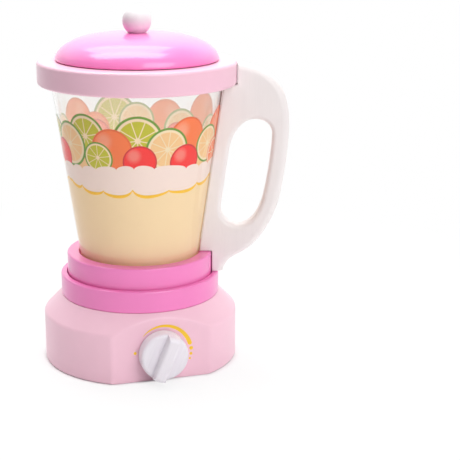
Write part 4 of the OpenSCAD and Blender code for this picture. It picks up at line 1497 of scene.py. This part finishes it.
class TOY_OT_stage(Operator):
    """Sets the floor, the lamps, the room's light and the camera"""

    bl_idname = "toy.stage"
    bl_label = "Stage"

    def execute(self, context):
        scene, look = context.scene, context.scene.toy_stage
        scene.view_settings.view_transform = "Standard"
        self.camera(scene)
        self.floor(look)
        self.room(scene, look)
        for name, place, aim_height, sizes, power in (
                ("key_lamp", (0.34, -1.05, 0.85), 0.10, (0.9, 0.9), look.key),
                ("top_lamp", (-0.10, 0.10, 1.10), 0.2, (1.0, 0.4), look.top),
                ("strip_lamp", (0.016, 0.505, 1.06), 0.2, (0.75, 0.46), look.strip)):
            self.lamp(scene, name, Vector(place), Vector((0.0, 0.0, aim_height)), sizes, power)
        return {"FINISHED"}

    def stand(self, scene, name, data, place, right, up):
        """An object that looks along its -Z, with its right and its up given."""
        thing = bpy.data.objects.new(name, data)
        turn = Matrix((right, up, right.cross(up))).transposed().to_4x4()
        thing.matrix_world = Matrix.Translation(place) @ turn
        scene.collection.objects.link(thing)
        return thing

    def camera(self, scene):
        """The camera of the studio view."""
        data = bpy.data.cameras.new("studio_camera")
        data.lens = 96.358
        data.sensor_width = 36.0
        data.sensor_fit = "HORIZONTAL"
        data.clip_start = 0.02
        scene.camera = self.stand(
            scene, "studio_camera", data, (-0.180165, -0.750443, 0.294125),
            Vector((0.95234, -0.30499, 0.00592)).normalized(),
            Vector((0.07529, 0.25383, 0.96431)).normalized())

    def lamp(self, scene, name, place, aim, sizes, power):
        """A soft box lamp that looks at a point, its long side along the view's width."""
        data = bpy.data.lights.new(name, "AREA")
        data.shape = "RECTANGLE"
        data.size, data.size_y = sizes
        data.energy = power
        back = (place - aim).normalized()
        along = Vector((0.952, -0.307, 0.0))
        along = (along - back * along.dot(back)).normalized()
        self.stand(scene, name, data, place, along, back.cross(along))

    def floor(self, look):
        """A pale floor just under the base, which keeps the shadow; on the left it ends near."""
        bm = bmesh.new()
        far, left, down = 4.0, 0.40, Vector((0.0, 0.0, -0.0002))
        right, depth = Vector((0.952, -0.305, 0.0)), Vector((0.305, 0.952, 0.0))
        corners = ((-left, -far), (far, -far), (far, far), (-left, far))
        bm.faces.new([bm.verts.new(right * u + depth * v + down) for u, v in corners])
        floor = new_piece("studio_floor", bm)
        material, nodes, position = new_material("floor_white")
        tone = nodes.group("coat_tone", Position=position, Colour=(0.94, 0.94, 0.94),
                           Amount=0.004, Scale=3.0)["Color"]
        matt = nodes.add("ShaderNodeBsdfDiffuse", tone).outputs[0]
        white = nodes.add("ShaderNodeEmission", (1.0, 1.0, 1.0), 1.0).outputs[0]
        path = nodes.add("ShaderNodeLightPath").outputs
        seen = nodes.most(path["Is Camera Ray"],
                          nodes.most(path["Is Glossy Ray"], path["Is Transmission Ray"]))
        away = nodes.measure("LENGTH", position)
        glow = look.floor_glow
        white_share = nodes.line(nodes.step(away, 0.10, 0.42), 1.0 - glow, glow)
        front = nodes.times(nodes.split(position)[1], -1.0)
        foot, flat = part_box("base_housing")[1].x, bpy.context.scene.toy_base.flat_distance
        clear_of = nodes.most(nodes.minus(away, foot), nodes.minus(front, flat))
        white_share = nodes.times(white_share, nodes.step(clear_of, -0.0005, 0.0035))
        floor.data.materials.append(surfaced(
            material, nodes, nodes.blend(nodes.times(seen, white_share), matt, white)))

    def room(self, scene, look):
        """White to the camera and in reflections, softer as light."""
        world = bpy.data.worlds.new("studio_room")
        world.use_nodes = True
        world.node_tree.nodes.clear()
        nodes = Nodes(world.node_tree)
        path = nodes.add("ShaderNodeLightPath").outputs
        seen = nodes.most(path["Is Camera Ray"], path["Is Transmission Ray"])
        way = nodes.add("ShaderNodeTexCoord").outputs["Generated"]
        toward = nodes.measure("DOT_PRODUCT", way, (0.30, 0.95, 0.0))
        above = nodes.measure("DOT_PRODUCT", way, (0.40, 0.10, 0.91))
        soft = nodes.line(nodes.step(toward, 0.1, 0.8), look.behind, look.room)
        soft = nodes.line(nodes.step(above, 0.15, 0.85), look.overhead, soft)
        height = nodes.split(way)[2]
        band = nodes.times(nodes.step(height, 0.28, 0.40), nodes.step(height, 0.72, 0.64))
        band = nodes.times(band, nodes.step(toward, 0.0, 0.3))
        mirrored = nodes.times(nodes.line(band, look.mirrored, 1.0), path["Is Glossy Ray"])
        soft = nodes.most(soft, mirrored)
        strength = nodes.line(seen, nodes.minus(1.0, soft), soft)
        back = nodes.add("ShaderNodeBackground", (1.0, 1.0, 1.0), strength).outputs[0]
        nodes.put(nodes.add("ShaderNodeOutputWorld").inputs["Surface"], back)
        scene.world = world


class TOY_PT_panel(Panel):
    """Lists the steps that build the toy, in order"""

    bl_idname = "TOY_PT_panel"
    bl_label = "Toy Blender"
    bl_space_type = "VIEW_3D"
    bl_region_type = "UI"
    bl_category = "Toy Blender"

    def draw(self, context):
        for step in STEPS:
            self.layout.operator(step.bl_idname)


STEPS = (TOY_OT_materials, TOY_OT_base_block, TOY_OT_plate_screws, TOY_OT_turned_rings, TOY_OT_dial,
         TOY_OT_cup, TOY_OT_handle, TOY_OT_lid, TOY_OT_stage)
SETTINGS = {
    "toy_base": ToyBaseSizes, "toy_rings": ToyRingSizes, "toy_dial": ToyDialSizes,
    "toy_jug": ToyJugSizes, "toy_handle": ToyHandleSizes, "toy_lid": ToyLidSizes,
    "toy_print": ToyPrintLook, "toy_colours": ToyPaintColours, "toy_stage": ToyStageLook,
}


def register():
    for group in SETTINGS.values():
        bpy.utils.register_class(group)
    for step in STEPS + (TOY_PT_panel,):
        bpy.utils.register_class(step)
    for name, group in SETTINGS.items():
        setattr(bpy.types.Scene, name, PointerProperty(type=group))


def unregister():
    for name in SETTINGS:
        delattr(bpy.types.Scene, name)
    for step in (TOY_PT_panel,) + STEPS[::-1]:
        bpy.utils.unregister_class(step)
    for group in SETTINGS.values():
        bpy.utils.unregister_class(group)


def main():
    register()
    for step in STEPS:
        group, name = step.bl_idname.split(".")
        getattr(getattr(bpy.ops, group), name)()


if __name__ == "__main__":
    main()
